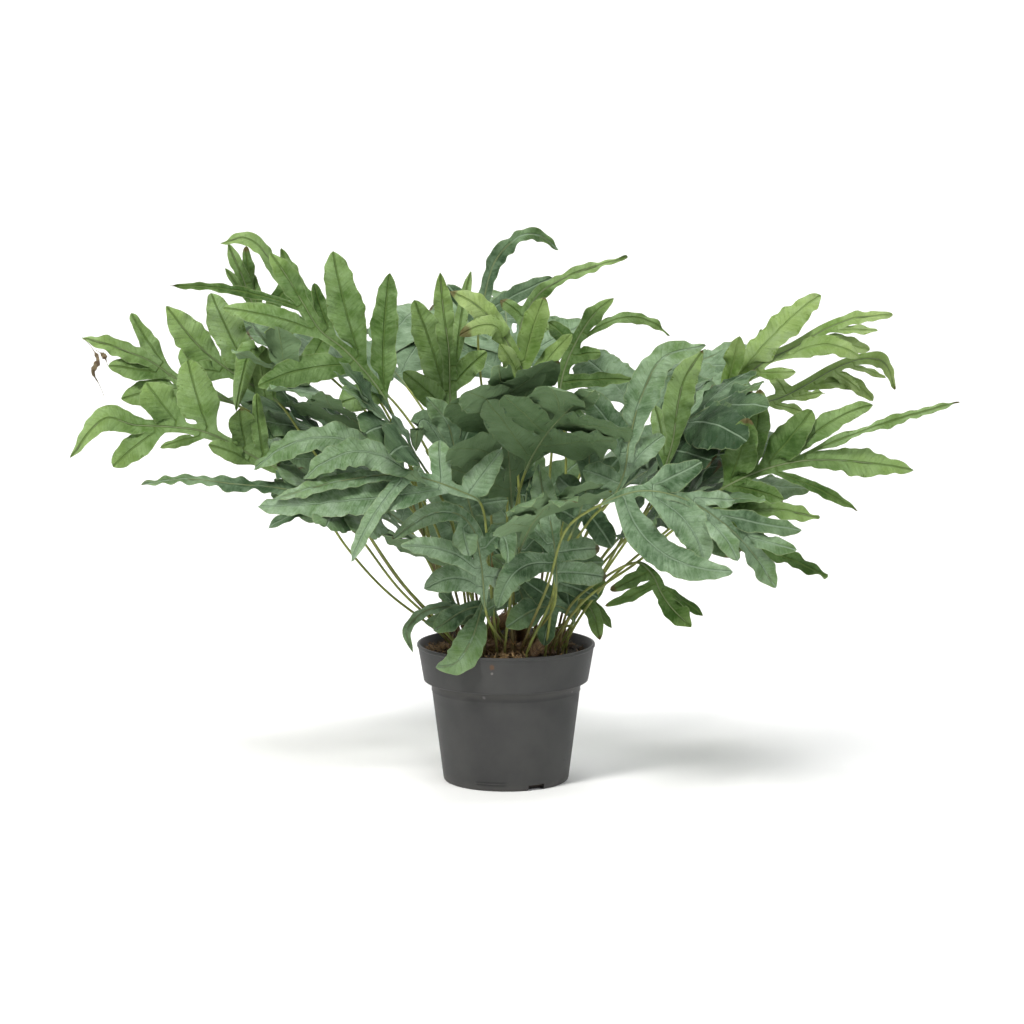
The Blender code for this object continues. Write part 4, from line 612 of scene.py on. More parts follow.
def settle_spine(make, placed):
    """The first variant of a frond whose stalk and rib are clear of everything in place."""
    for size in (1.0, 0.9, 0.8, 0.7):
        for nudge in nudges():
            frond = make(nudge, size)
            tail = [frond.path.at(frond.path.length * share) for share in (0.8, 0.9, 1.0)]
            if not frond.shown and not all(in_foliage(place) for place in tail):
                continue
            frond.set_stations()
            frond.set_frames()
            if is_free(frond.spine(CLEAR), placed):
                return frond
    return None


def assign_bases(frond, wanted):
    """Gives lobes their stretches of the rib on a grid, in order along each side."""
    low, high = frond.lobe_room()
    cells = max(1, int((high - low) / GRID))
    taken = {1: set(), -1: set()}
    for side, distance, tip, via, width, arch, bow, phase in wanted:
        need = 1 if width < 0.0125 else 2
        best = None
        for cell in range(0, cells - need + 1):
            if any(c in taken[side] for c in range(cell, cell + need)):
                continue
            middle = low + GRID * (cell + need / 2)
            if best is None or abs(middle - distance) < best[0]:
                best = (abs(middle - distance), cell)
        if best is None or best[0] > BASE_SHIFT:
            continue
        cell = best[1]
        taken[side] |= set(range(cell, cell + need))
        start = low + GRID * cell
        frond.lobes.append(Lobe(side, start, start + GRID * need, tip, via, width, arch, bow, phase))


def nearest_distance(path, low, pixel):
    """The distance along a path, past low, where it passes nearest to a pixel."""
    best = (1e9, low)
    for k in range(121):
        s = low + (path.length - low) * k / 120
        x, y = pixel_of(path.at(s))
        best = min(best, (math.hypot(x - pixel[0], y - pixel[1]), s))
    return best[1]


def shown_frond(name, foot, nudge):
    """A frond drawn through the photograph's pixels."""
    plan = SHOWN[name]
    near, far = plan["depth"]
    ribs, stalk = plan["rib"], plan["stalk"]
    rib = [sight(p, near + (far - near) * k / (len(ribs) - 1)) for k, p in enumerate(ribs)]
    via = [sight(p, foot.y + (near - foot.y) * (k / (len(stalk) + 1))) for k, p in enumerate(stalk, 1)]
    points = stalk_points(foot, rib[0], via, nudge)
    rib = [p + nudge * 0.5 for p in rib]
    frond = Frond(name, points + rib, len(points), plan["face"], plan["width"] / 1000, plan["taper"], True)
    wanted = []
    for k, (x, y, tip_x, tip_y, width, back, *bent) in enumerate(plan["lobes"]):
        s = nearest_distance(frond.path, frond.blade, (x, y))
        root = frond.path.at(s)
        ahead = frond.path.heading(s)
        side_way = ahead.cross(square_to(frond.face, ahead))
        point = sight((tip_x, tip_y), root.y + back / 1000)
        side = 1 if side_way.dot(point - root) > 0 else -1
        via = sight(bent, (root.y + point.y) / 2) if bent else None
        wanted.append((side, s, point, via, width / 1000, 0.07 if k % 2 else 0.03, 0.05, k))
    assign_bases(frond, wanted)
    return frond


def hidden_frond(name, plan, foot, nudge, size, draw):
    """A frond placed by the seeded rule, arching out from the pot."""
    azimuth, stalk_length, blade_length, lean, droop = plan
    stalk_length, blade_length = stalk_length * size, blade_length * size
    turn = math.radians(azimuth)
    out = round_at(1.0, turn)
    up = Vector((0.0, 0.0, 1.0))
    place = Vector((foot.x, foot.y, SOIL_TOP))
    steps = 7
    total = stalk_length + blade_length
    points = []
    for k in range(1, steps + 1):
        share = k / steps
        angle = math.radians(lean * min(1.0, 0.25 + 1.3 * share)
                             + (droop - lean) * max(0.0, share - 0.35) / 0.65)
        place = place + (out * math.sin(angle) + up * math.cos(angle)) * (total / steps)
        points.append(place + nudge * min(1.0, 1.6 * share))
    knot = max(1, round(steps * stalk_length / total)) - 1
    start = stalk_points(foot, points[0], (), Vector((0.0, 0.0, 0.0)))[:2]
    face = up * 0.75 - out * 0.55 + Vector((draw.uniform(-0.5, 0.5), draw.uniform(-0.7, 0.1), 0.0))
    frond = Frond(name, start + points, len(start) + knot, face, draw.uniform(0.022, 0.030), 2.1, False)
    low, high = frond.lobe_room()
    wanted = []
    s = low + GRID * draw.choice((1, 2))
    side = draw.choice((1, -1))
    k = 0
    while s < high - 0.004:
        share = (s - low) / (high - low)
        ahead = frond.path.heading(s)
        normal = square_to(frond.face, ahead)
        side_way = ahead.cross(normal) * side
        angle = math.radians(draw.uniform(50, 64) - 14 * share)
        swell = 0.8 + 0.35 * math.sin(math.pi * min(1.0, share + 0.15))
        length = draw.uniform(0.36, 0.48) * max(0.18, blade_length) * swell
        sag = draw.uniform(-0.22, 0.10)
        way = ahead * math.cos(angle) + side_way * math.sin(angle) + normal * sag
        tip = frond.path.at(s) + way * length
        wanted.append((side, s, tip, None, draw.uniform(0.030, 0.042), draw.uniform(-0.04, 0.12), 0.06, k))
        side = -side
        s += 2 * GRID
        k += 1
    assign_bases(frond, wanted)
    return frond


def lobe_tries(frond, lobe):
    """Variants of a lobe, from the drawn one to ones bent further away or shorter."""
    root = frond.path.at((lobe.start + lobe.end) / 2)
    normal = frond.frames[frond.index(lobe.start)]
    tip, via, width, arch = lobe.tip, lobe.via, lobe.width, lobe.arch
    view = (tip - CAMERA_PLACE).normalized()
    for scale in (1.0, 0.9, 0.78, 0.64, 0.5):
        for move in (0.0, 0.012, -0.012, 0.026, -0.026, 0.042, -0.042, 0.060, -0.060):
            for curve in (0.0, 0.10, -0.10, 0.20):
                way = view if frond.shown else normal
                lobe.tip = root + (tip + way * move - root) * scale
                if via:
                    lobe.via = root + (via + way * (move / 2) - root) * scale
                lobe.width = width * (0.5 + 0.5 * scale)
                lobe.arch = arch + curve
                yield lobe


def settle_lobe(frond, lobe, placed):
    """Bends one lobe clear, or leaves it out where there is no room for it."""
    for tried in lobe_tries(frond, lobe):
        start = frond.path.at(tried.start)
        if (tried.tip - start).length < SHORTEST_LOBE:
            break
        if not frond.shown and not (in_foliage(tried.tip) and in_foliage(tried.tip.lerp(start, 0.5))):
            continue
        if tried.tip.z < POT_HEIGHT + 0.004 and math.hypot(tried.tip.x, tried.tip.y) < RIM_RADIUS:
            continue
        if is_free(frond.lobe_body(tried, CLEAR), placed):
            tried.body = frond.lobe_body(tried)
            placed.append(tried.body)
            return


def wanted_foot(target):
    """Where a frond that reaches to a target would best leave the soil."""
    flat = Vector((target.x, target.y))
    reach = min(0.058, 0.020 + 0.22 * flat.length)
    return flat.normalized() * reach


def lay_out_fronds(placed, blocked):
    """All fronds with their stalks, then their lobes, each clear of the rest."""
    draw = random.Random(FERN_SEED)
    feet, fronds = [], []

    def settle(target, make):
        foot = choose_foot(wanted_foot(target), feet, blocked)
        frond = settle_spine(lambda nudge, size: make(foot, nudge, size), placed)
        if frond:
            feet.append(foot)
            fronds.append(frond)
            placed.append(frond.spine())

    for name, plan in SHOWN.items():
        settle(sight(plan["rib"][0], plan["depth"][0]),
               lambda foot, nudge, size: shown_frond(name, foot, nudge))
    for number, plan in enumerate(HIDDEN, 1):
        turn = math.radians(plan[0])
        target = round_at(1.0, turn) * (0.05 + 0.0022 * plan[3])
        seed = draw.randrange(10**6)
        settle(target, lambda foot, nudge, size: hidden_frond(
            f"inner_{number:02d}", plan, foot, nudge, size, random.Random(seed)))
    for frond in fronds:
        for lobe in frond.lobes:
            settle_lobe(frond, lobe, placed)
    return fronds


def turned(profile, sides):
    """Points and faces of a closed profile turned round the upright axis."""
    points = [round_at(radius, 2 * math.pi * k / sides, height)
              for k in range(sides) for radius, height in profile]
    faces = []
    count = len(profile)
    for k in range(sides):
        a, b = k * count, (k + 1) % sides * count
        faces += [(a + i, b + i, b + i + 1, a + i + 1) for i in range(count - 1)]
    return points, faces


def soil_height(x, y):
    """The uneven top of the soil, by a formula."""
    broad = math.sin(95 * x + 1.3) * math.cos(83 * y)
    return SOIL_TOP + SOIL_BUMP * (broad + 0.5 * math.sin(210 * x - 160 * y))


def blunt(share):
    """How thick a rhizome is at a share of its length: full in the middle and blunt at its ends."""
    return math.sqrt(max(0.12, 1 - abs(2 * share - 1)**6))


def tube_points(route, radius, sides, relief):
    """Points and faces of a blunt-ended creeping stem, its scales raised as staggered points."""
    path = Path(route)
    stations = max(6, round(path.length / 0.0080))
    points, faces = [], []
    side = Vector((0.0, 0.0, 1.0)).cross(path.heading(0.0)).normalized()
    for i in range(stations + 1):
        s = path.length * i / stations
        ahead = path.heading(s)
        side = square_to(side, ahead)
        up = ahead.cross(side)
        size = radius * blunt(i / stations)
        for k in range(sides):
            turn = 2 * math.pi * (k + 0.5 * (i % 2)) / sides
            lift = size + relief * (1 if (i + k) % 2 else -0.4)
            points.append(path.at(s) + (side * math.cos(turn) + up * math.sin(turn)) * lift)
    for i in range(stations):
        for k in range(sides):
            a, b = i * sides + k, i * sides + (k + 1) % sides
            if i % 2:
                faces += [(a, b, b + sides), (a, b + sides, a + sides)]
            else:
                faces += [(a, b, a + sides), (b, b + sides, a + sides)]
    faces.append(list(range(sides)))
    faces.append([stations * sides + k for k in reversed(range(sides))])
    return points, faces


def obstacle(points, faces):
    body = Body()
    body.points, body.faces = points, [tuple(f) for f in faces]
    return body.ready()


# Fine blades
BLADE_DEPTH = 0.00030
KEEL = 0.0003
COLUMNS = (0.0, 0.34, 0.68, 1.0)
ROW_STEP = GRID / 6
LOBE_STEP = 0.0034
TIP_STEP = 0.0022
RIPPLE = 0.0029
RIB_RADIUS = 0.0013
RIB_TIP_RADIUS = 0.0003
MAP_SCALE = 10.0
ROUND = 6.28
FINE_SEED = 7

# Dry brown shreds that hang from a frond, by the pixels that each passes through
SHREDS = {
    "left_upper": (((84, 338), (92, 348), (98, 360), (93, 372), (99, 384), (104, 396)),
                   ((96, 350), (104, 356), (108, 366))),
}


class Signal:
    """A value in a material. Python's operators on it add Math nodes."""

    def __init__(self, finish, socket):
        self.finish = finish
        self.socket = socket

    def maths(self, operation, *values, clamp=False):
        return self.finish.node("ShaderNodeMath", {"operation": operation, "use_clamp": clamp},
                                {i: value for i, value in enumerate(values)})

    def __add__(self, other):
        return self.maths("ADD", self, other)

    def __sub__(self, other):
        return self.maths("SUBTRACT", self, other)

    def __mul__(self, other):
        return self.maths("MULTIPLY", self, other)

    def __pow__(self, other):
        return self.maths("POWER", self, other)

    def __radd__(self, other):
        return self.maths("ADD", other, self)

    def __rsub__(self, other):
        return self.maths("SUBTRACT", other, self)

    def __rmul__(self, other):
        return self.maths("MULTIPLY", other, self)

    def __abs__(self):
        return self.maths("ABSOLUTE", self)

    def part(self):
        return self.maths("FRACT", self)

    def held(self):
        """The value held between 0 and 1."""
        return self.maths("ADD", self, 0.0, clamp=True)

    def rise(self, low, high):
        """0 below low, 1 above high, and smooth between."""
        return self.finish.node("ShaderNodeMapRange", {"interpolation_type": "SMOOTHSTEP"},
                                {"Value": self, "From Min": low, "From Max": high})


class Finish:
    """One material, built from a Principled shader."""

    def __init__(self, name):
        self.material = bpy.data.materials.new(name)
        self.material.use_nodes = True
        self.tree = self.material.node_tree
        self.shader = self.tree.nodes["Principled BSDF"]
        self.output = self.tree.nodes["Material Output"]

    def node(self, kind, settings=None, values=None, out=0):
        made = self.tree.nodes.new(kind)
        for name, value in (settings or {}).items():
            setattr(made, name, value)
        self.feed(made, values or {})
        return Signal(self, made.outputs[out])

    def feed(self, node, values):
        for name, value in values.items():
            socket = node.inputs[name]
            if isinstance(value, Signal):
                self.tree.links.new(value.socket, socket)
            elif isinstance(value, (tuple, list)) and len(value) == 3 and socket.type == "RGBA":
                socket.default_value = (*value, 1.0)
            else:
                socket.default_value = value

    def mix(self, share, a, b, blend="MIX"):
        """Colour a where the share is 0 and colour b where it is 1."""
        made = self.tree.nodes.new("ShaderNodeMix")
        made.data_type = "RGBA"
        made.blend_type = blend
        made.clamp_factor = True
        self.feed(made, {0: share, 6: a, 7: b})
        return Signal(self, made.outputs[2])

    def place(self):
        return self.node("ShaderNodeTexCoord", out="Object")

    def map_pair(self, name):
        """The two values of a UV map."""
        flat = self.node("ShaderNodeUVMap", {"uv_map": name})
        return tuple(self.node("ShaderNodeSeparateXYZ", None, {0: flat}, out=i) for i in (0, 1))

    def pair(self, a, b):
        return self.node("ShaderNodeCombineXYZ", None, {0: a, 1: b})

    def noise(self, place, scale, detail=3.0, rough=0.5):
        return self.node("ShaderNodeTexNoise", None,
                         {"Vector": place, "Scale": scale, "Detail": detail, "Roughness": rough})

    def cells(self, place, scale):
        """The distance to the nearest edge between cells."""
        return self.node("ShaderNodeTexVoronoi", {"feature": "DISTANCE_TO_EDGE"},
                         {"Vector": place, "Scale": scale})

    def dressed(self, colour, rough, height, depth, strength, specular=0.5):
        """The material with its colour, roughness, relief and how strongly it shines."""
        self.feed(self.shader, {"Base Color": colour, "Roughness": rough, "Specular IOR Level": specular})
        self.feed(self.shader, {"Normal": self.node(
            "ShaderNodeBump", None, {"Height": height, "Distance": depth, "Strength": strength})})
        return self.material

    def over(self, kind, share, colour):
        """Mixes in another shader by a share: light through a thin leaf, or nothing at all."""
        other = self.tree.nodes.new(kind)
        other.inputs["Color"].default_value = (*colour, 1.0)
        both = self.tree.nodes.new("ShaderNodeMixShader")
        self.feed(both, {0: share})
        self.tree.links.new(self.shader.outputs[0], both.inputs[1])
        self.tree.links.new(other.outputs[0], both.inputs[2])
        self.tree.links.new(both.outputs[0], self.output.inputs["Surface"])


# How far side veins lean forward, how close they are in the vein map, and the brown of dry tips
VEIN_SLANT = 0.62
SIDE_VEINS = 17.0
DRY_BROWN = (0.105, 0.062, 0.026)


def worn_tips(tip, chance, mottle):
    """Where a lobe's tip is dry and brown."""
    reach = (chance - 0.74) * 0.26 + (mottle - 0.5) * 0.10
    return 1.0 - (tip - reach).rise(-0.012, 0.018)


def leaf_maps(name):
    """A leaf's finish, the place, and the values in its maps."""
    made = Finish(name)
    lateral, along = made.map_pair("vein_map")
    vein, margin = made.map_pair("edge_map")
    tone, ripe = made.map_pair("tone_map")
    tip, chance = made.map_pair("tip_map")
    return made, made.place(), lateral, along, vein, margin, tone, ripe, tip, chance


def blade_finish(name, deep, leaf, ripe_leaf, bloom_and_sheen, vein_colour, through, gloss):
    """The upper face of a blade: mottled, netted with fine veins, bloomed and given a painted sheen, and pale
    along its margin.
    """
    made, place, lateral, along, vein, margin, tone, ripe, tip, chance = leaf_maps(name)
    cloud = made.noise(place, 19.0, 3.0)
    mottle = made.noise(place, 85.0, 4.0, 0.6)
    grain = made.noise(place, 900.0, 2.0)
    sway = (made.noise(made.pair(lateral, along), 5.0, 2.0) - 0.5) * 0.030
    side_vein = abs(((along - abs(lateral - 0.5) * VEIN_SLANT + sway) * SIDE_VEINS).part() - 0.5) * 2.0
    side_vein = (side_vein ** 12.0) * margin.rise(0.0, 0.03)
    net = 1.0 - made.cells(made.pair(lateral, along), 42.0).rise(0.0, 0.10)
    midvein = 1.0 - vein.rise(0.005, 0.014)
    # Streaks along the side veins, in the colour and in the relief: pale streaks painted for light on the
    # relief between side veins.
    slant = made.pair((along - abs(lateral - 0.5) * VEIN_SLANT) * 1.0, abs(lateral - 0.5) * 0.22)
    streak = made.noise(slant, 34.0, 4.0, 0.62)
    fine = made.noise(place, 330.0, 3.0, 0.6)
    # Mixes the shaded and lit colours by cloud, mottle, streaks and tone: the leaf's own mottling, drawn as
    # painted shade and light.
    shade = (cloud.rise(0.32, 0.68) * 0.40 + mottle.rise(0.30, 0.70) * 0.28 + streak.rise(0.32, 0.68) * 0.18
             + fine.rise(0.30, 0.70) * 0.14 + tone * 0.95 - 0.40).held()
    colour = made.mix(shade, deep, leaf)
    turned = (ripe * 1.25 - 0.35 + (tone - 0.5) * 0.4 + (cloud - 0.5) * 1.1).held()
    colour = made.mix(turned * 0.85, colour, ripe_leaf)
    # Waxy bloom and painted sheen: a pale bluish colour mixed in by mottle, cloud and streaks, stronger on
    # paler fronds.
    bloom_and_sheen_mask = mottle.rise(0.38, 0.66) * 0.45 + cloud.rise(0.42, 0.60) * 0.40 + streak.rise(0.40, 0.66) * 0.22
    bloom_and_sheen_mask = bloom_and_sheen_mask * (0.12 + tone * 0.98)
    colour = made.mix(bloom_and_sheen_mask.held() * bloom_and_sheen[3], colour, bloom_and_sheen[:3])
    colour = made.mix(side_vein * 0.17 + net * 0.12, colour, deep)
    colour = made.mix(midvein * 0.75, colour, vein_colour)
    rim = 1.0 - margin.rise(0.002, 0.009)
    colour = made.mix(rim * 0.45, colour, (0.30, 0.36, 0.18))
    specks = made.noise(place, 260.0, 2.0).rise(0.68, 0.75) * chance.rise(0.20, 0.90)
    colour = made.mix(specks * 0.35, colour, (0.10, 0.065, 0.025))
    colour = made.mix(worn_tips(tip, chance, mottle) * 0.80, colour, DRY_BROWN)
    rough = gloss + mottle * 0.20 + side_vein * 0.05
    relief = mottle * 0.65 + streak * 0.24 + fine * 0.12 + grain * 0.06
    relief = relief - side_vein * 0.20 - net * 0.14 - midvein * 0.7
    made.dressed(colour, rough, relief, 0.0020, 1.0, 0.20)
    made.over("ShaderNodeBsdfTranslucent", *through)
    return made.material


def underside_finish(name, leaf, dark, through):
    """The lower face of a blade: paler and duller, with raised veins. It is pale as undersides are, and
    lighter still as painted light for faces that turn down into shade.
    """
    made, place, lateral, along, vein, margin, tone, ripe, tip, chance = leaf_maps(name)
    mottle = made.noise(place, 80.0, 4.0, 0.6)
    side_vein = abs(((along - abs(lateral - 0.5) * VEIN_SLANT) * SIDE_VEINS).part() - 0.5) * 2.0
    side_vein = side_vein ** 10.0
    net = 1.0 - made.cells(made.pair(lateral, along), 42.0).rise(0.0, 0.12)
    midvein = 1.0 - vein.rise(0.003, 0.013)
    # Pale as undersides are, and lighter still as painted light where downward faces lie in shade.
    colour = made.mix((mottle * 0.7 + tone * 0.7 + ripe * 0.2 - 0.12).held(), dark, leaf)
    colour = made.mix(side_vein * 0.25 + net * 0.14 + midvein * 0.4, colour, (0.17, 0.23, 0.09))
    colour = made.mix((1.0 - margin.rise(0.002, 0.009)) * 0.4, colour, (0.26, 0.32, 0.15))
    colour = made.mix(worn_tips(tip, chance, mottle) * 0.80, colour, DRY_BROWN)
    rough = 0.60 + mottle * 0.14
    made.dressed(colour, rough, mottle * 0.4 + side_vein * 0.5 + net * 0.25 + midvein, 0.0011, 0.8, 0.10)
    made.over("ShaderNodeBsdfTranslucent", *through)
    return made.material


def stalk_finish():
    """A smooth green stalk, brown and purple towards its foot, that runs on as a paler rib in the blade."""
    made = Finish("stalk_skin")
    around, up = made.map_pair("vein_map")
    tone, height = made.map_pair("tone_map")
    rib = made.map_pair("tip_map")[0]
    place = made.place()
    blotch = made.noise(place, 60.0, 3.0)
    streak = made.noise(made.pair(around * 14.0, up * 1.2), 9.0, 3.0)
    colour = made.mix(blotch.rise(0.30, 0.70), (0.090, 0.118, 0.020), (0.230, 0.270, 0.060))
    colour = made.mix(streak * 0.5, colour, (0.280, 0.300, 0.100))
    brown = ((tone - 0.50) * 1.8 + (0.40 - height) * 2.4 + (blotch - 0.5) * 1.4).held()
    colour = made.mix(brown * 0.85, colour, (0.070, 0.032, 0.016))
    blade = made.mix(blotch, (0.095, 0.145, 0.055), (0.200, 0.260, 0.130))
    colour = made.mix(rib * 0.85, colour, blade)
    return made.dressed(colour, 0.40 + blotch * 0.2, streak * 0.6 + blotch * 0.4, 0.0006, 0.6, 0.25)


def scale_finish():
    """The papery golden scales of the rhizomes and of the stalks' feet."""
    made = Finish("golden_scale")
    tone, tip = made.map_pair("tone_map")
    place = made.place()
    blotch = made.noise(place, 140.0, 4.0)
    colour = made.mix(tone, (0.130, 0.062, 0.020), (0.360, 0.230, 0.095))
    colour = made.mix((tip * 0.8 + blotch * 0.5 - 0.2).held(), colour, (0.050, 0.026, 0.012))
    return made.dressed(colour, 0.62 + blotch * 0.2, blotch, 0.0006, 0.6)


def dry_finish():
    """Dead brown leaf."""
    made = Finish("dry_leaf")
    place = made.place()
    blotch = made.noise(place, 170.0, 4.0)
    colour = made.mix(blotch.rise(0.35, 0.65), (0.070, 0.045, 0.024), (0.200, 0.155, 0.085))
    return made.dressed(colour, 0.80 + blotch * 0.1, blotch, 0.0010, 0.8)


def soil_finish():
    """Moist peat with coir fibre and bark crumbs."""
    made = Finish("moist_peat")
    place = made.place()
    lump = made.noise(place, 130.0, 6.0, 0.65)
    fine = made.noise(place, 620.0, 4.0, 0.7)
    colour = made.mix(lump.rise(0.32, 0.68), (0.007, 0.0045, 0.003), (0.034, 0.021, 0.012))
    colour = made.mix(fine.rise(0.60, 0.74) * 0.7, colour, (0.105, 0.072, 0.042))
    return made.dressed(colour, 0.84 + fine * 0.14, lump + fine * 0.6, 0.0030, 1.0)


def crumb_finish():
    """Bark and coir crumbs, each lighter or darker by where it lies."""
    made = Finish("bark_crumb")
    place = made.place()
    spot = made.noise(place, 75.0, 2.0)
    fine = made.noise(place, 800.0, 4.0, 0.7)
    colour = made.mix(spot.rise(0.35, 0.66), (0.014, 0.008, 0.005), (0.110, 0.066, 0.032))
    colour = made.mix(fine.rise(0.45, 0.75) * 0.5, colour, (0.200, 0.140, 0.080))
    return made.dressed(colour, 0.80 + fine * 0.15, fine + spot, 0.0016, 1.0)


def on_pot(pixel):
    """Where a pixel falls on the pot's outside."""
    y = -BASE_RADIUS
    for _ in range(12):
        spot = sight(pixel, y)
        height = min(1.0, max(0.0, spot.z / (POT_HEIGHT - COLLAR_HEIGHT)))
        radius = BASE_RADIUS + (BODY_TOP_RADIUS - BASE_RADIUS) * height
        if height == 1.0:
            radius = COLLAR_FOOT_RADIUS + (RIM_RADIUS - COLLAR_FOOT_RADIUS) * (spot.z - 0.108) / COLLAR_HEIGHT
        y = -math.sqrt(max(0.0, radius ** 2 - spot.x ** 2))
    return sight(pixel, y)


def pot_finish():
    """Dark grey moulded plastic with a faint grain, dust, a paler band under its collar and at its foot, and
    a splash of soil.
    """
    made = Finish("grey_pot_plastic")
    place = made.place()
    cloud = made.noise(place, 16.0, 4.0, 0.6)
    grain = made.noise(place, 1500.0, 3.0)
    dust = made.noise(place, 240.0, 5.0, 0.75)
    height = made.node("ShaderNodeSeparateXYZ", None, {0: place}, out=2)
    colour = made.mix(cloud.rise(0.30, 0.72), (0.039, 0.039, 0.039), (0.054, 0.054, 0.052))
    colour = made.mix(dust.rise(0.62, 0.80) * 0.30, colour, (0.150, 0.145, 0.135))
    # Paler just under the collar's step and towards the foot.
    near_step = 1.0 - abs(height - (POT_HEIGHT - COLLAR_HEIGHT - 0.004)).rise(0.0, 0.006)
    pale_step_and_foot = near_step * 0.25 + (1.0 - height.rise(0.0, 0.012)) * 0.20
    colour = made.mix(pale_step_and_foot, colour, (0.110, 0.105, 0.095))
    for pixel, size, tint in POT_SPOTS:
        gap = made.node("ShaderNodeVectorMath", {"operation": "DISTANCE"},
                        {0: place, 1: tuple(on_pot(pixel))}, out=1)
        spot = 1.0 - (gap + (dust - 0.5) * size * 1.6).rise(size * 0.35, size)
        colour = made.mix(spot * 0.75, colour, tint)
    rough = 0.44 + cloud * 0.10 + dust * 0.08
    return made.dressed(colour, rough, grain * 0.35 + dust * 0.25 + cloud * 0.4, 0.0005, 0.7, 0.26)


# Specks on the pot: pixel, radius in m and colour
POT_SPOTS = (((492, 668), 0.0036, (0.120, 0.062, 0.030)), ((492, 674), 0.0020, (0.200, 0.190, 0.175)),
             ((564, 760), 0.0016, (0.014, 0.014, 0.014)), ((484, 698), 0.0022, (0.150, 0.145, 0.140)),
             ((572, 692), 0.0016, (0.170, 0.165, 0.160)))


PLAIN = (0.5, 0.0, 0.0, 0.2, 0.5, 0.5, 1.0, 0.5)


def put(name, data):
    """An object in the scene."""
    made = bpy.data.objects.new(name, data)
    bpy.context.scene.collection.objects.link(made)
    return made


def smooth(mesh, sharp):
    """Rounded shading but for edges sharper than an angle in degrees."""
    mesh.polygons.foreach_set("use_smooth", [True] * len(mesh.polygons))
    mesh.set_sharp_from_angle(angle=math.radians(sharp))


def face_out(mesh):
    """Turns the faces so that their normals look outwards."""
    shape = bmesh.new()
    shape.from_mesh(mesh)
    bmesh.ops.recalc_face_normals(shape, faces=shape.faces)
    shape.to_mesh(mesh)
    shape.free()


class Sheet:
    """Points and faces of a fine piece, with the values that its finishes read at each corner."""

    def __init__(self):
        self.points = []
        self.faces = []
        self.slots = []
        self.corners = []

    def add(self, point):
        self.points.append(point)
        return len(self.points) - 1

    def face(self, indices, values, slot):
        self.faces.append(indices)
        self.corners += values
        self.slots.append(slot)

    def grid(self, rows, values, slot, flip):
        """Quads between rows of point numbers, with a value for each place in the grid."""
        for a, b, va, vb in zip(rows, rows[1:], values, values[1:]):
            for j in range(len(a) - 1):
                indices = (a[j], a[j + 1], b[j + 1], b[j])
                corners = [va[j], va[j + 1], vb[j + 1], vb[j]]
                kept = [k for k in range(4) if indices[k] != indices[k - 1]]
                if len(kept) < 3:
                    continue
                if flip:
                    kept.reverse()
                self.face([indices[k] for k in kept], [corners[k] for k in kept], slot)

    def fan(self, line, values, point, slot, swapped, middle=None):
        """Triangles from a row of points to one point."""
        order = (1, 0, 2) if swapped else (0, 1, 2)
        for j in range(len(line) - 1):
            trio = (line[j], line[j + 1], point)
            corners = (values[j], values[j + 1], values[j if middle is None else middle])
            self.face([trio[k] for k in order], [corners[k] for k in order], slot)

    def wrap(self, rings, slot):
        """Quads round a stack of rings, open at both ends."""
        for a, b in zip(rings, rings[1:]):
            for k in range(len(a)):
                after = (k + 1) % len(a)
                self.face((a[k], a[after], b[after], b[k]), [PLAIN] * 4, slot)

    def make(self, name, finishes, sharp=60.0):
        mesh = bpy.data.meshes.new(name)
        mesh.from_pydata([tuple(p) for p in self.points], [], self.faces)
        flat = np.array(self.corners, dtype=np.float32)
        for i, label in enumerate(("vein_map", "edge_map", "tone_map", "tip_map")):
            layer = mesh.uv_layers.new(name=label)
            layer.data.foreach_set("uv", flat[:, 2 * i:2 * i + 2].ravel())
        mesh.polygons.foreach_set("material_index", self.slots)
        face_out(mesh)
        smooth(mesh, sharp)
        for finish in finishes:
            mesh.materials.append(finish)
        return put(name, mesh)


def ripple_at(distance, wavelength, phase):
    """An uneven wave along a margin, about -1 to 1."""
    even = math.sin(2 * math.pi * distance / wavelength + phase)
    return even * 0.50 + noise.noise(Vector((distance * 1.35 / wavelength, phase * 7.1, 0.37))) * 1.25


def pucker(point):
    """The uneven swell of a blade's face, in metres."""
    return 0.0017 * noise.noise(point * 62.0) + 0.0008 * noise.noise(point * 150.0)


def fine_profile(t):
    """A lobe's width from its root to its blunt tip, a little fuller than the solid's."""
    if t < 0.38:
        return 0.74 + 0.30 * math.sin(math.pi / 2 * t / 0.38)
    return 1.04 * max(0.0, 1.0 - ((t - 0.38) / 0.62) ** 2.7) ** 0.66


def held(value):
    """A value held between 0 and 1."""
    return min(1.0, max(0.0, value))


def smooth_step(low, high, value):
    """0 below low, 1 above high, and smooth between."""
    t = held((value - low) / (high - low))
    return t * t * (3 - 2 * t)


def frame_at(frond, s):
    """The blade's place, heading, upper-face direction and count of solid sections at a distance."""
    stations = frond.stations
    i = 0
    while i < len(stations) - 2 and stations[i + 1] <= s:
        i += 1
    last = stations[i + 1] if i + 1 < len(stations) else frond.path.length
    share = (s - stations[i]) / (last - stations[i])
    if i + 1 in frond.frames:
        normal = frond.frames[i].lerp(frond.frames[i + 1], held(share))
    else:
        normal = frond.frames[i]
    ahead = frond.path.heading(s)
    return frond.path.at(s), ahead, square_to(normal, ahead), i + share


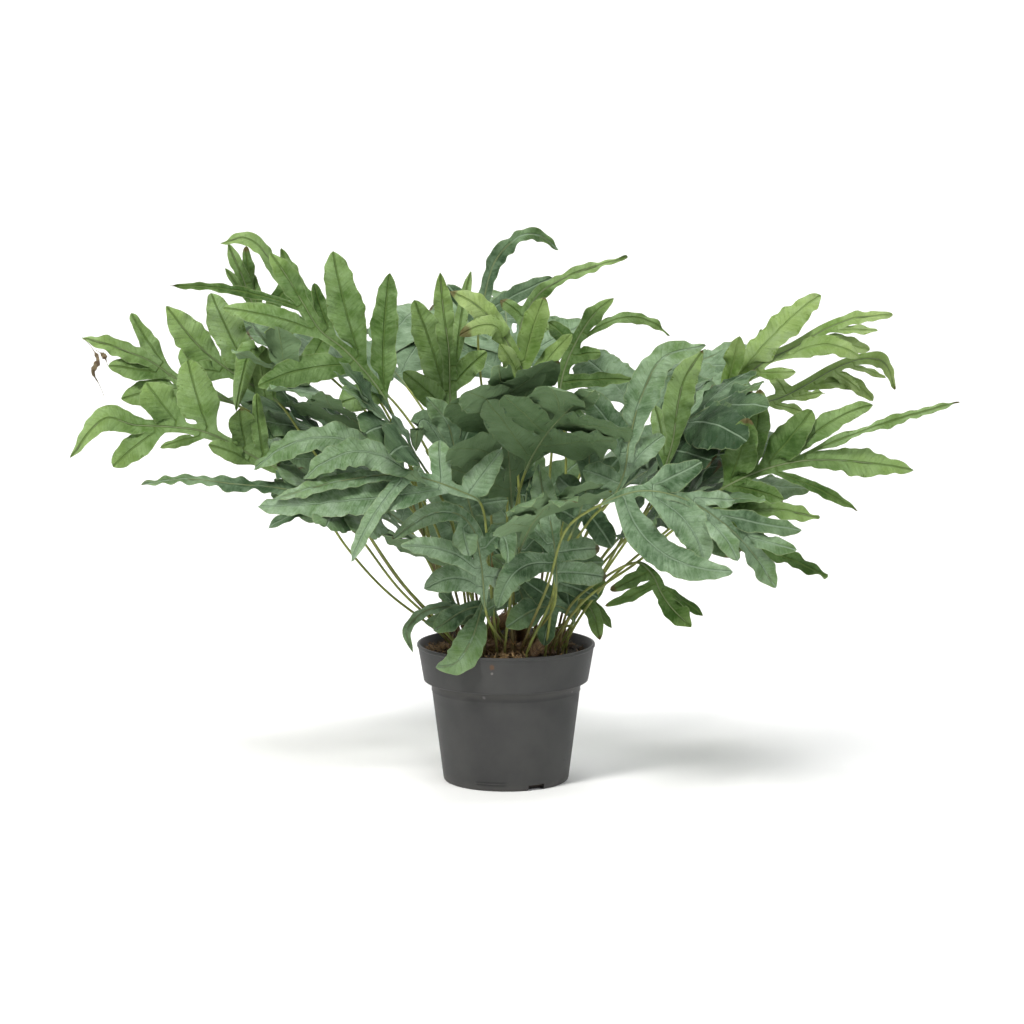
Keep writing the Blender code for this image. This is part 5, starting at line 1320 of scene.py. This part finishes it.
class Ribbon:
    """The rib and end lobe of a blade, row by row, with the stretches that lobes grow from."""

    def __init__(self, frond, draw):
        self.frond = frond
        self.draw = draw
        if frond.shown:
            self.look = SHOWN[frond.name]["look"]
        else:
            # Hidden fronds take darker tones than the shown ones: painted shade for the plant's shaded
            # inside, varied at random.
            self.look = (draw.uniform(0.06, 0.60), draw.uniform(-0.20, 0.10))
        self.phase = (draw.uniform(0, ROUND), draw.uniform(0, ROUND))
        self.ripple = RIPPLE * draw.uniform(0.7, 1.3)
        self.chance = draw.random()
        self.full = 1.05 if frond.shown else 1.34
        first = frond.lobe_room()[0]
        self.marks = [frond.blade + 0.0005]
        s = first
        last = frond.end_start if frond.lobes else frond.blade + 0.006
        while s < last + 1e-6:
            self.marks.append(s)
            s += ROW_STEP
        self.end_row = len(self.marks)
        start, end = self.marks[-1], frond.path.length
        steps = max(8, round((end - start) / TIP_STEP))
        self.marks += [start + (end - start) * (1 - (1 - k / steps) ** 1.15) for k in range(1, steps)]
        self.lobes = {1: [], -1: []}
        for lobe in sorted(frond.lobes, key=lambda lobe: lobe.start):
            if lobe.body:
                low, high = (1 + round((place - first) / ROW_STEP) for place in (lobe.start, lobe.end))
                self.lobes[lobe.side].append((low, high, lobe))

    def age(self, share, t):
        """How ripe the blade is, from 0 at its start to 1 at its tips."""
        return held(0.35 * share + t * (0.50 + 0.25 * share) + self.look[1])

    def covered(self, side, row):
        """The lobe that a row lies inside on one side, if any."""
        for low, high, lobe in self.lobes[side]:
            if low <= row <= high:
                return low, high, lobe
        return None

    def pinch(self, side, row):
        """How far the margin draws in between two lobes."""
        before = [high for _, high, _ in self.lobes[side] if high <= row]
        after = [low for low, _, _ in self.lobes[side] if low >= row]
        if not before or not after or max(before) == min(after):
            return 1.0
        share = (row - max(before)) / (min(after) - max(before))
        return 1.0 - 0.22 * math.sin(math.pi * share)

    def row(self, row):
        """Place, side direction, upper direction and half widths of a row."""
        frond, s = self.frond, self.marks[row]
        place, ahead, normal, count = frame_at(frond, s)
        across = ahead.cross(normal)
        half = frond.half_width(s)
        wave, lift = 0.0, (0.0, 0.0)
        halves = [half, half]
        if s > frond.end_start + 0.001:
            share = (s - frond.end_start) / (frond.path.length - frond.end_start)
            wave = -0.0022 * math.cos(math.pi * count) * math.sin(math.pi * share)
            half *= 1.06 - 0.06 * math.cos(math.pi * count)
            distance = s - frond.end_start
            grown = smooth_step(0.0, 0.25, share)
            lift = tuple(self.ripple * grown * ripple_at(distance, 0.019, p) for p in self.phase)
            halves = [half * (1 + 0.07 * grown * ripple_at(distance, 0.013, 2 * p)) for p in self.phase]
        else:
            halves = [half * self.pinch(-1, row), half * self.pinch(1, row)]
        return place, across, normal, halves, wave, lift

    def point(self, row, x, face):
        """A point of the blade at x from -1 to 1 across it, on its upper (1), lower (-1) or middle face."""
        place, across, normal, halves, wave, lift = self.row(row)
        side = 1 if x > 0 else 0
        bend = -wave * x + lift[side] * abs(x) ** 1.8
        keel = -KEEL * (1 - min(1.0, abs(x) * 3))
        flat = place + across * (halves[side] * x)
        if row > self.end_row:
            bend += pucker(flat) * min(1.0, (row - self.end_row) / 4)
        return flat + normal * (bend + keel + BLADE_DEPTH * face)


def grow_blade(sheet, frond, draw):
    """The whole blade as one closed thin sheet: its rib, its end lobe and its side lobes."""
    ribbon = Ribbon(frond, draw)
    rows = len(ribbon.marks)
    frond_tone = held(ribbon.look[0] + draw.uniform(-0.10, 0.10))
    sides = {}
    for side in (-1, 1):
        sides[side] = upper, lower = [], []
        for row in range(rows):
            stretch = ribbon.covered(side, row)
            inside = stretch and stretch[0] < row < stretch[1]
            pairs = []
            for x in COLUMNS:
                if x == 0.0 and side > 0:
                    pairs.append([sides[-1][level][row][0] for level in (0, 1)])
                elif x == 1.0 and not inside:
                    pairs.append([sheet.add(ribbon.point(row, side * x, 0))] * 2)
                else:
                    depth = 1
                    if x == 1.0:
                        low, high, lobe = stretch
                        depth = 1 - (2 * (row - low) / (high - low) - 1) ** 4
                    pairs.append([sheet.add(ribbon.point(row, side * x, depth * face)) for face in (1, -1)])
            upper.append([pair[0] for pair in pairs])
            lower.append([pair[1] for pair in pairs])
    for side in (-1, 1):
        for row in range(rows - 1):
            stretch = ribbon.covered(side, row)
            lobed = stretch and stretch[0] <= row < stretch[1]
            values = [rib_values(ribbon, side, r, stretch if lobed else None, frond_tone)
                      for r in (row, row + 1)]
            for level in (0, 1):
                sheet.grid(sides[side][level][row:row + 2], values, level, side * (1 - 2 * level) < 0)
    tip = sheet.add(frond.path.at(frond.path.length))
    root = sheet.add(frond.path.at(frond.blade - 0.002))
    for side in (-1, 1):
        for level in (0, 1):
            for row, point, ends in ((rows - 1, tip, 1), (0, root, -1)):
                values = rib_values(ribbon, side, row, None, frond_tone)
                sheet.fan(sides[side][level][row], values, point, level, side * ends * (1 - 2 * level) < 0)
        for low, high, lobe in ribbon.lobes[side]:
            grow_side_lobe(sheet, ribbon, lobe, low, high, sides[side], frond_tone)


def rib_values(ribbon, side, row, stretch, tone):
    """What the finishes read on the rib: place across and along, distances to vein and margin, and age."""
    frond, s = ribbon.frond, ribbon.marks[row]
    half = ribbon.row(row)[3][1 if side > 0 else 0]
    share = (s - frond.blade) / (frond.path.length - frond.blade)
    grown = 0.0
    if s > frond.end_start:
        grown = (s - frond.end_start) / (frond.path.length - frond.end_start)
    ripe = ribbon.age(share, grown)
    values = []
    for x in COLUMNS:
        if stretch:
            lateral = (row - (stretch[0] + stretch[1]) / 2) * ROW_STEP
            vein = min(abs(lateral), x * half)
            values.append((0.5 + lateral * MAP_SCALE, -(1 - x) * half * MAP_SCALE, vein * MAP_SCALE, 0.2,
                           tone, ripe, 1.0, 0.5))
        else:
            values.append((0.5 + side * x * half * MAP_SCALE, s * MAP_SCALE, x * half * MAP_SCALE,
                           (1 - x) * half * MAP_SCALE, tone, ripe, (frond.path.length - s) * MAP_SCALE,
                           ribbon.chance))
    return values


def grow_side_lobe(sheet, ribbon, lobe, low, high, edges, frond_tone):
    """One side lobe from its stretch of the rib's margin to its tip."""
    frond, draw = ribbon.frond, ribbon.draw
    root, span, line = frond.lobe_line(lobe)[4:]
    count, columns = frond.lobe_steps(span), high - low
    tops, unders = ([[edges[level][row][-1] for row in range(low, high + 1)]] for level in (0, 1))
    base = [sheet.points[k].copy() for k in tops[0]]
    base_middle = sum(base, Vector()) / len(base)
    steps = max(9, round(span / LOBE_STEP))
    phases = (draw.uniform(0, ROUND), draw.uniform(0, ROUND))
    waves = (draw.uniform(0.015, 0.023), draw.uniform(0.015, 0.023))
    ripple = RIPPLE * draw.uniform(0.6, 1.5)
    camber = draw.uniform(-0.22, 0.14)
    tone = held(frond_tone + draw.uniform(-0.34, 0.34))
    chance = draw.random()
    share = (lobe.start - frond.blade) / (frond.path.length - frond.blade)
    value_rows = [[lobe_value(0.0, (2 * j / columns - 1) * ROW_STEP * columns / 2, 0.02, frond_tone,
                              ribbon.age(share, 0.0), span, chance) for j in range(columns + 1)]]
    travelled, before = 0.0, root
    for t in (1 - (1 - k / steps) ** 1.22 for k in range(1, steps)):
        place, ahead, up, across = line(t)
        travelled += (place - before).length
        before = place
        turn = -lobe.side * math.copysign(1.0, across.cross(ahead).dot(up))
        sway = -math.cos(math.pi * (count * (1 - (1 - t) ** (1 / 1.2)) + lobe.phase))
        wide = lobe.width / 2 * fine_profile(t) * (ribbon.full + 0.08 * sway)
        wave = LOBE_WAVE * sway * math.sin(math.pi * min(1.0, 0.25 + t)) * smooth_step(0.0, 0.2, t)
        grown = smooth_step(0.08, 0.35, t)
        settled = smooth_step(0.0, 0.24, t)
        top_row, under_row, value_row = [], [], []
        for j in range(columns + 1):
            even = 2 * j / columns - 1
            side = 0 if even < 0 else 1
            x = math.copysign(abs(even) ** (1.0 + 0.35 * settled), even)
            crimp = 1 + 0.065 * grown * abs(even) ** 3 * ripple_at(travelled, 0.0125, 2 * phases[side])
            lift = ripple * grown * abs(x) ** 1.8 * ripple_at(travelled, waves[side], phases[side])
            bow = camber * wide * (x * x - 0.3) * settled - KEEL * (1 - min(1.0, abs(even) * 3)) * settled
            point = place + across * (wide * x * crimp) + up * (lift + bow - x * wave)
            point = point + up * (pucker(point) * grown)
            point = (base[j] + (place - base_middle)).lerp(point, settled)
            deep = BLADE_DEPTH * (1 - even ** 4) * (1 - 0.4 * t) * turn
            top_row.append(sheet.add(point + up * deep if 0 < j < columns else point))
            under_row.append(sheet.add(point - up * deep) if 0 < j < columns else top_row[-1])
            blend_tone = frond_tone + (tone - frond_tone) * settled
            value_row.append(lobe_value(travelled, x * wide, (1 - abs(x)) * wide, blend_tone,
                                        ribbon.age(share, t), span * (1 - t), chance))
        tops.append(top_row)
        unders.append(under_row)
        value_rows.append(value_row)
    end = sheet.add(lobe.tip)
    for rows, slot, way in ((tops, 0, lobe.side), (unders, 1, -lobe.side)):
        sheet.grid(rows, value_rows, slot, way < 0)
    for rows, slot, way in ((tops, 0, lobe.side), (unders, 1, -lobe.side)):
        sheet.fan(rows[-1], value_rows[-1], end, slot, way > 0, columns // 2)


def lobe_value(along, lateral, rim, tone, ripe, tip, chance):
    return (0.5 + lateral * MAP_SCALE, along * MAP_SCALE, abs(lateral) * MAP_SCALE, rim * MAP_SCALE,
            tone, ripe, tip * MAP_SCALE, chance)


def tube(sheet, places, radii, normals, sides, slot, value):
    """A round closed tube along places, with a value for each row."""
    rings = []
    for i, (place, radius) in enumerate(zip(places, radii)):
        ahead = (places[min(i + 1, len(places) - 1)] - places[max(i - 1, 0)]).normalized()
        up = square_to(normals[i], ahead)
        across = ahead.cross(up)
        rings.append([sheet.add(place + (across * math.cos(2 * math.pi * k / sides)
                                         + up * math.sin(2 * math.pi * k / sides)) * radius)
                      for k in range(sides)])
    for i in range(len(rings) - 1):
        for k in range(sides):
            after = (k + 1) % sides
            low, high = value(i), value(i + 1)
            a, b = k / sides, (k + 1) / sides
            sheet.face((rings[i][k], rings[i][after], rings[i + 1][after], rings[i + 1][k]),
                       [(a, *low), (b, *low), (b, *high), (a, *high)], slot)
    for ring, row in ((list(reversed(rings[0])), 0), (rings[-1], len(rings) - 1)):
        sheet.face(ring, [(0.5, *value(row))] * sides, slot)


def grow_stalk(sheet, frond, draw):
    """The stalk from its foot in the soil, running on as the raised rib to the tip of the blade."""
    length, blade = frond.path.length, frond.blade
    marks, s = [], 0.0
    while s < length * 0.985:
        marks.append(s)
        s += 0.006 if s < blade else 0.0045
    tone = draw.random()
    places, radii, normals = [], [], []
    for s in marks:
        place, _, normal, _ = frame_at(frond, s)
        if s < blade:
            radius = STALK_RADIUS * (1.06 - 0.10 * s / blade)
        else:
            share = (s - blade) / (length - blade)
            radius = RIB_RADIUS + (RIB_TIP_RADIUS - RIB_RADIUS) * share ** 0.75
            place = place - normal * (radius * 0.30)
        places.append(place)
        radii.append(radius)
        normals.append(normal)
    tube(sheet, places, radii, normals, 8, 2,
         lambda i: (marks[i] * MAP_SCALE, 0.0, 0.2, tone, min(1.0, marks[i] / max(blade, 0.05)),
                    1.0 if marks[i] > blade else 0.0, 0.5))


def add_scale(sheet, root, way, out, length, width, tone, slot):
    """One papery scale: a narrow pointed blade of two folded faces, curling away from its root."""
    side = way.cross(out).normalized()
    middle = root + way * (length * 0.5) + out * (length * 0.10)
    tip = root + way * length + out * (length * 0.32)
    corners = (root - side * (width * 0.5), root + side * (width * 0.5), middle - side * (width * 0.42),
               middle + side * (width * 0.42), middle + out * (width * 0.25), tip)
    points = [sheet.add(corner) for corner in corners]
    values = [(0.5, 0.0, 0.0, 0.2, tone, far, 1.0, 0.5) for far in (0.0, 0.0, 0.4, 0.4, 0.4, 1.0)]
    for face in ((0, 1, 3, 2), (0, 2, 4), (1, 4, 3), (0, 4, 1), (2, 3, 5), (2, 5, 4), (4, 5, 3)):
        sheet.face([points[k] for k in face], [values[k] for k in face], slot)


def grow_foot_scales(sheet, frond, draw):
    """A few golden scales round the stalk where it leaves the soil."""
    for k in range(11):
        s = HOLE_DEPTH + draw.uniform(-0.001, 0.020)
        place, ahead, normal, _ = frame_at(frond, s)
        turn = draw.uniform(0, ROUND)
        out = normal * math.cos(turn) + ahead.cross(normal) * math.sin(turn)
        add_scale(sheet, place + out * STALK_RADIUS, (ahead * 0.9 + out * 0.25).normalized(), out,
                  draw.uniform(0.004, 0.008), 0.0011, draw.random(), 3)


def grow_shreds(sheet, frond):
    """Dry brown shreds that hang from the frond."""
    draw = random.Random(3)
    depth = SHOWN[frond.name]["depth"][1]
    for pixels in SHREDS[frond.name]:
        path = Path([sight(p, depth) for p in pixels])
        count = 22
        rings = []
        for i in range(count + 1):
            share = i / count
            place = path.at(path.length * share)
            ahead = path.heading(path.length * share)
            across = square_to(round_at(1.0, 1.3 + 4.2 * share, 0.2), ahead)
            half = 0.0030 * math.sin(math.pi * (0.12 + 0.86 * share)) * draw.uniform(0.45, 1.25)
            thick = ahead.cross(across) * 0.0003
            rings.append([sheet.add(p) for p in (place - across * half, place + thick,
                                                 place + across * half, place - thick)])
        sheet.wrap(rings, 4)
        sheet.face(list(reversed(rings[0])), [PLAIN] * 4, 4)
        sheet.face(rings[-1], [PLAIN] * 4, 4)


def rhizome_piece(name, route, thick, finishes):
    """A creeping rhizome covered in overlapping golden scales."""
    draw = random.Random(sum(map(ord, name)))
    path = Path(route)
    sheet = Sheet()
    stations = max(20, round(path.length / 0.0025))
    places = [path.at(path.length * i / stations) for i in range(stations + 1)]
    radii = [thick * blunt(i / stations) * draw.uniform(0.94, 1.04) for i in range(stations + 1)]
    tube(sheet, places, radii, [Vector((0.3, 0.2, 1.0))] * (stations + 1), 16, 0,
         lambda i: (0.0, 0.0, 0.2, 0.3, 0.6, 1.0, 0.5))
    for k in range(520):
        s = path.length * draw.uniform(0.01, 0.99)
        ahead = path.heading(s)
        up = square_to(Vector((0.0, 0.0, 1.0)), ahead)
        turn = draw.uniform(-0.45, math.pi + 0.45)
        out = ahead.cross(up) * math.cos(turn) + up * math.sin(turn)
        radius = thick * blunt(s / path.length)
        way = (ahead * draw.uniform(0.6, 1.0) + out * draw.uniform(0.05, 0.55)
               + out.cross(ahead) * draw.uniform(-0.5, 0.5)).normalized()
        add_scale(sheet, path.at(s) + out * (radius * 0.93), way, out, draw.uniform(0.004, 0.0085),
                  draw.uniform(0.0010, 0.0018), draw.random(), 0)
    piece = sheet.make(f"scaly_{name}", finishes, 30.0)
    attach(piece, "root")
    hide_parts(name)


def crumb(sheet, centre, size, draw, slot):
    """A rough crumb of bark."""
    ball = bmesh.new()
    bmesh.ops.create_icosphere(ball, subdivisions=1, radius=1.0)
    stretch = Vector((draw.uniform(0.6, 1.5), draw.uniform(0.5, 1.0), draw.uniform(0.35, 0.8))) * size
    turn = draw.uniform(0, ROUND)
    numbers = {}
    for v in ball.verts:
        p = Vector([v.co[i] * stretch[i] * draw.uniform(0.75, 1.2) for i in range(3)])
        x, y = p.x * math.cos(turn) - p.y * math.sin(turn), p.x * math.sin(turn) + p.y * math.cos(turn)
        numbers[v] = sheet.add(centre + Vector((x, y, p.z)))
    for face in ball.faces:
        sheet.face([numbers[v] for v in face.verts], [PLAIN] * 3, slot)
    ball.free()


def soil_place(radius, turn, lift):
    """A place over the soil, which lies lower by the pot's wall."""
    x, y = radius * math.cos(turn), radius * math.sin(turn)
    drop = 0.004 * (1 - smooth_step(SOIL_EDGE_RADIUS, 0.078, radius))
    return Vector((x, y, soil_height(x, y) - drop + lift))


def soil_piece(finishes):
    """Peat with an uneven top, strewn with bark crumbs, coir and fallen golden scales."""
    draw = random.Random(19)
    sheet = Sheet()
    sides, rings = 120, 26
    turns = [2 * math.pi * k / sides for k in range(sides)]
    collar_foot = POT_HEIGHT - COLLAR_HEIGHT
    edge = SOIL_EDGE_RADIUS - 0.0027
    outline = ((BASE_RADIUS - 0.0025, FLOOR + GAP), (BODY_TOP_RADIUS - 0.0025, collar_foot),
               (COLLAR_FOOT_RADIUS - 0.0027, collar_foot + 0.0036), (edge, SOIL_TOP - 0.004))
    rows = [[sheet.add(round_at(radius, turn, height)) for turn in turns] for radius, height in outline]
    for k in range(1, rings):
        radius = edge - edge * k / rings
        rows.append([sheet.add(soil_place(radius, turn, 0.0022 * noise.fractal(
            round_at(radius, turn) * 90.0, 0.9, 2.1, 5))) for turn in turns])
    sheet.wrap(rows, 0)
    middle = sheet.add(Vector((0.0, 0.0, soil_height(0.0, 0.0))))
    for k in range(sides):
        sheet.face((rows[-1][k], rows[-1][(k + 1) % sides], middle), [PLAIN] * 3, 0)
    sheet.face(list(reversed(rows[0])), [PLAIN] * sides, 0)
    for k in range(460):
        radius = SOIL_EDGE_RADIUS * 0.95 * math.sqrt(draw.random())
        turn = draw.uniform(0, ROUND)
        size = draw.uniform(0.0010, 0.0036) * (1.0 if draw.random() < 0.85 else 1.6)
        crumb(sheet, soil_place(radius, turn, size * 0.3), size, draw, 1)
    for k in range(900):
        front = k % 2 == 0
        if front:
            turn = math.radians(draw.gauss(-91, 9) if k % 4 else draw.gauss(-166, 7))
            radius = draw.uniform(0.060, 0.086)
        else:
            turn, radius = draw.uniform(0, ROUND), SOIL_EDGE_RADIUS * 0.94 * math.sqrt(draw.random())
        heading = draw.uniform(0, ROUND)
        way = Vector((math.cos(heading), math.sin(heading), draw.uniform(-0.1, 0.5))).normalized()
        lift = draw.uniform(0.0005, 0.0060 if front else 0.0020)
        add_scale(sheet, soil_place(radius, turn, lift), way, Vector((0, 0, 1)), draw.uniform(0.003, 0.010),
                  draw.uniform(0.0005, 0.0017), min(1.0, draw.random() + (0.35 if front else 0.0)), 2)
    piece = sheet.make("strewn_soil", finishes, 50.0)
    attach(piece, "root")
    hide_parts("soil")


def pot_profile():
    """The pot's section from its foot up the outside, over the rim and down the inside."""
    collar_foot = POT_HEIGHT - COLLAR_HEIGHT
    slope = (BODY_TOP_RADIUS - BASE_RADIUS) / collar_foot
    section = [(BASE_RADIUS - 0.0030, 0.0), (BASE_RADIUS - 0.0010, 0.0003), (BASE_RADIUS - 0.0002, 0.0012)]
    section += [(BASE_RADIUS + slope * z, z) for z in (0.003, 0.010, 0.030, 0.060, 0.088)]
    ring = collar_foot - 0.0105
    for dz, out in ((-0.0012, 0.0), (-0.0004, 0.00035), (0.0006, 0.00035), (0.0014, 0.0)):
        section.append((BASE_RADIUS + slope * (ring + dz) + out, ring + dz))
    for wide, out, up in ((BODY_TOP_RADIUS, -0.0002, -0.0030), (BODY_TOP_RADIUS, 0.0004, -0.0012),
                          (BODY_TOP_RADIUS, 0.0020, -0.0002), (COLLAR_FOOT_RADIUS, -0.0012, 0.0),
                          (COLLAR_FOOT_RADIUS, -0.0003, 0.0006), (COLLAR_FOOT_RADIUS, 0.0, 0.0018)):
        section.append((wide + out, collar_foot + up))
    top = POT_HEIGHT - LIP_HEIGHT
    section += [(COLLAR_FOOT_RADIUS + (RIM_RADIUS - LIP_PROUD - COLLAR_FOOT_RADIUS) * k / 4,
                 collar_foot + 0.0018 + (top - collar_foot - 0.0024) * k / 4) for k in range(1, 5)]
    section += [(RIM_RADIUS - 0.0004, top), (RIM_RADIUS, top + 0.0006), (RIM_RADIUS, POT_HEIGHT - 0.0010),
                (RIM_RADIUS - 0.0004, POT_HEIGHT - 0.0003), (RIM_RADIUS - 0.0012, POT_HEIGHT)]
    inner = RIM_RADIUS - LIP_PROUD - WALL
    section += [(inner + 0.0006, POT_HEIGHT - 0.0001), (inner, POT_HEIGHT - 0.0008),
                (COLLAR_FOOT_RADIUS - WALL, collar_foot + 0.0030), (BODY_TOP_RADIUS - WALL, collar_foot),
                (BASE_RADIUS - WALL, FLOOR)]
    return section


def pot_piece(finish):
    """The moulded pot with its drain slots and a short moulded ledge by its foot."""
    sides = 180
    section = pot_profile()
    points, faces = turned(section, sides)
    count = len(section)
    faces.append([k * count for k in reversed(range(sides))])
    faces.append([k * count + count - 1 for k in range(sides)])
    mesh = bpy.data.meshes.new("moulded_pot")
    mesh.from_pydata([tuple(p) for p in points], [], faces)
    face_out(mesh)
    pot = put("moulded_pot", mesh)
    cutters = []
    for degrees in DRAIN_DEGREES:
        angle = math.radians(degrees)
        slot = bmesh.new()
        bmesh.ops.create_cube(slot, size=1.0)
        bmesh.ops.scale(slot, vec=(0.020, DRAIN_WIDTH, DRAIN_HEIGHT * 2), verts=slot.verts)
        block = bpy.data.meshes.new("drain_block")
        slot.to_mesh(block)
        slot.free()
        cutter = put("drain_block", block)
        cutter.location = round_at(BASE_RADIUS, angle)
        cutter.rotation_euler = (0.0, 0.0, angle)
        cut = pot.modifiers.new("drain", "BOOLEAN")
        cut.operation = "DIFFERENCE"
        cut.object = cutter
        cut.solver = "EXACT"
        cutters.append(cutter)
    bpy.context.view_layer.update()
    finished = bpy.data.meshes.new_from_object(pot.evaluated_get(bpy.context.evaluated_depsgraph_get()))
    pot.modifiers.clear()
    pot.data = finished
    for cutter in cutters:
        bpy.data.objects.remove(cutter, do_unlink=True)
    ledge = bmesh.new()
    ledge.from_mesh(finished)
    add_ledge(ledge)
    ledge.to_mesh(finished)
    ledge.free()
    finished.materials.clear()
    finished.materials.append(finish)
    finished.polygons.foreach_set("material_index", [0] * len(finished.polygons))
    smooth(finished, 32)
    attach(pot, "root")
    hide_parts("pot")


def add_ledge(shape):
    """A short moulded ledge low on the front of the pot."""
    low, high, start, stop = 0.0078, 0.0092, -119, -88
    inner = BASE_RADIUS - 0.0006
    rows = []
    for degrees in range(start, stop + 1, 2):
        proud = BASE_RADIUS + 0.0010 + 0.0016 * min(1.0, (degrees - start) / 4, (stop - degrees) / 4)
        out = round_at(1.0, math.radians(degrees))
        rows.append([shape.verts.new(out * radius + Vector((0, 0, height))) for radius, height in
                     ((inner, low), (proud, low), (proud, high), (inner, high))])
    for a, b in zip(rows, rows[1:]):
        for j in range(4):
            k = (j + 1) % 4
            shape.faces.new((a[j], a[k], b[k], b[j]))
    shape.faces.new(list(reversed(rows[0])))
    shape.faces.new(rows[-1])


# Each age of leaf: shaded, lit and ripe colours, bloom and painted sheen with its strength, midvein, light
# through it, roughness, and the lit and shaded colours underneath
AGES = {
    "blue": ((0.020, 0.054, 0.017), (0.125, 0.225, 0.100), (0.155, 0.260, 0.075), (0.315, 0.425, 0.290, 0.90),
             (0.220, 0.315, 0.200), (0.08, (0.14, 0.30, 0.05)), 0.42,
             (0.195, 0.290, 0.155), (0.055, 0.105, 0.038)),
    "green": ((0.034, 0.084, 0.009), (0.175, 0.300, 0.074), (0.270, 0.400, 0.110),
              (0.290, 0.395, 0.225, 0.65), (0.090, 0.155, 0.032), (0.12, (0.26, 0.45, 0.06)), 0.40,
              (0.160, 0.250, 0.080), (0.045, 0.090, 0.015)),
    "fresh": ((0.070, 0.150, 0.018), (0.225, 0.350, 0.082), (0.390, 0.510, 0.170),
              (0.320, 0.425, 0.230, 0.60), (0.200, 0.300, 0.085), (0.15, (0.42, 0.60, 0.09)), 0.40,
              (0.185, 0.285, 0.075), (0.070, 0.130, 0.020)),
}


def leaf_finishes():
    """The upper and lower finishes of the three ages of frond."""
    return {f"frond_{age}": (blade_finish(f"{age}_blade", *looks[:7]),
                             underside_finish(f"{age}_underside", looks[7], looks[8], looks[5]))
            for age, looks in AGES.items()}


# Fronds that have turned a duller colour than their group
DULLED = {"rim_leaf": "frond_blue", "right_straps": "frond_green"}


def frond_slots():
    """The material slot of each frond, by the record."""
    return {entry["node"]: entry["material_slot"] for entry in frame["record"]["subparts"]}


def dress_fronds(fronds, golden):
    """The fine fronds in place of their solids."""
    faces = leaf_finishes()
    stalk, dry = stalk_finish(), dry_finish()
    slots = frond_slots()
    for number, frond in enumerate(fronds):
        draw = random.Random(FINE_SEED * 1000 + number)
        sheet = Sheet()
        grow_blade(sheet, frond, draw)
        grow_stalk(sheet, frond, draw)
        grow_foot_scales(sheet, frond, draw)
        if frond.name in SHREDS:
            grow_shreds(sheet, frond)
        node = f"frond_{frond.name}"
        face = faces[DULLED.get(frond.name, slots[node])]
        piece = sheet.make(f"leafy_{frond.name}", (*face, stalk, golden, dry))
        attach(piece, "root")
        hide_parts(node)


def make_backdrop():
    """A pale floor that sweeps up behind the plant. The sweep shows on its inner face only."""
    width, front, back, bend, height = 7.0, -8.0, 2.2, 1.2, 3.6
    profile = [(front, 0.0)] + [(back - bend + bend * math.sin(a), bend - bend * math.cos(a))
                                for a in (math.pi / 2 * k / 16 for k in range(17))] + [(back, height)]
    points = [(x, y, z) for y, z in profile for x in (-width, width)]
    faces = [(2 * k, 2 * k + 1, 2 * k + 3, 2 * k + 2) for k in range(len(profile) - 1)]
    mesh = bpy.data.meshes.new("backdrop")
    mesh.from_pydata(points, [], faces)
    mesh.polygons.foreach_set("use_smooth", [True] * len(faces))
    made = Finish("pale_paper")
    made.feed(made.shader, {"Base Color": (0.95, 0.95, 0.95), "Roughness": 0.9})
    made.over("ShaderNodeBsdfTransparent", made.node("ShaderNodeNewGeometry", out=6), (1.0, 1.0, 1.0))
    mesh.materials.append(made.material)
    put("backdrop", mesh)


def make_light(name, place, size, power, colour):
    """A round lamp that looks at the middle of the plant."""
    lamp = bpy.data.lights.new(name, "AREA")
    lamp.shape = "DISK"
    lamp.size = size
    lamp.energy = power
    lamp.color = colour
    holder = put(name, lamp)
    holder.location = place
    holder.rotation_euler = (Vector((0.0, 0.0, 0.3)) - Vector(place)).to_track_quat("-Z", "Y").to_euler()


def light_studio():
    """A pale even room with three lamps."""
    world = bpy.data.worlds.new("studio")
    world.use_nodes = True
    room = world.node_tree.nodes["Background"]
    room.inputs["Color"].default_value = (1.0, 1.0, 1.0, 1.0)
    room.inputs["Strength"].default_value = 0.36
    bpy.context.scene.world = world
    bpy.context.scene.view_settings.view_transform = "Standard"
    make_light("key", (-1.5, -1.9, 2.6), 0.9, 104.0, (1.0, 0.99, 0.96))
    make_light("fill", (2.4, -2.0, 1.7), 1.6, 30.0, (0.96, 0.98, 1.0))
    make_light("top", (0.2, 0.5, 2.8), 1.4, 42.0, (1.0, 1.0, 1.0))


def place_camera():
    """The camera that took the photograph."""
    lens = bpy.data.cameras.new("photo_camera")
    lens.sensor_width = 36.0
    lens.lens = FOCAL_PIXELS / (2 * IMAGE_CENTRE[0]) * lens.sensor_width
    lens.clip_end = 50.0
    camera = put("photo_camera", lens)
    camera.location = CAMERA_PLACE
    camera.rotation_euler = (math.pi / 2 - CAMERA_PITCH, 0.0, 0.0)
    bpy.context.scene.camera = camera


def lay_out_plant():
    """The fronds where the solids have them."""
    placed, spots = [], []
    for route, radius in RHIZOMES.values():
        placed.append(obstacle(*tube_points(route, radius + 0.0008, RHIZOME_SIDES, 0.0006)))
        path = Path(route)
        for k in range(13):
            place = path.at(path.length * k / 12)
            if place.z < SOIL_TOP + 0.03:
                spots.append((place, radius + 0.0045))
    inside = RIM_RADIUS - 0.0036
    rim = [(RIM_RADIUS + GAP, 0.0), (RIM_RADIUS + GAP, POT_HEIGHT + GAP), (inside, POT_HEIGHT + GAP),
           (inside, SOIL_TOP - 0.01)]
    placed.append(obstacle(*turned(rim, POT_SIDES)))
    return lay_out_fronds(placed, spots)


place_camera()
light_studio()
make_backdrop()
golden = scale_finish()
dress_fronds(lay_out_plant(), golden)
for creeper, (route, thick) in RHIZOMES.items():
    rhizome_piece(creeper, route, thick, (golden,))
soil_piece((soil_finish(), crumb_finish(), golden))
pot_piece(pot_finish())
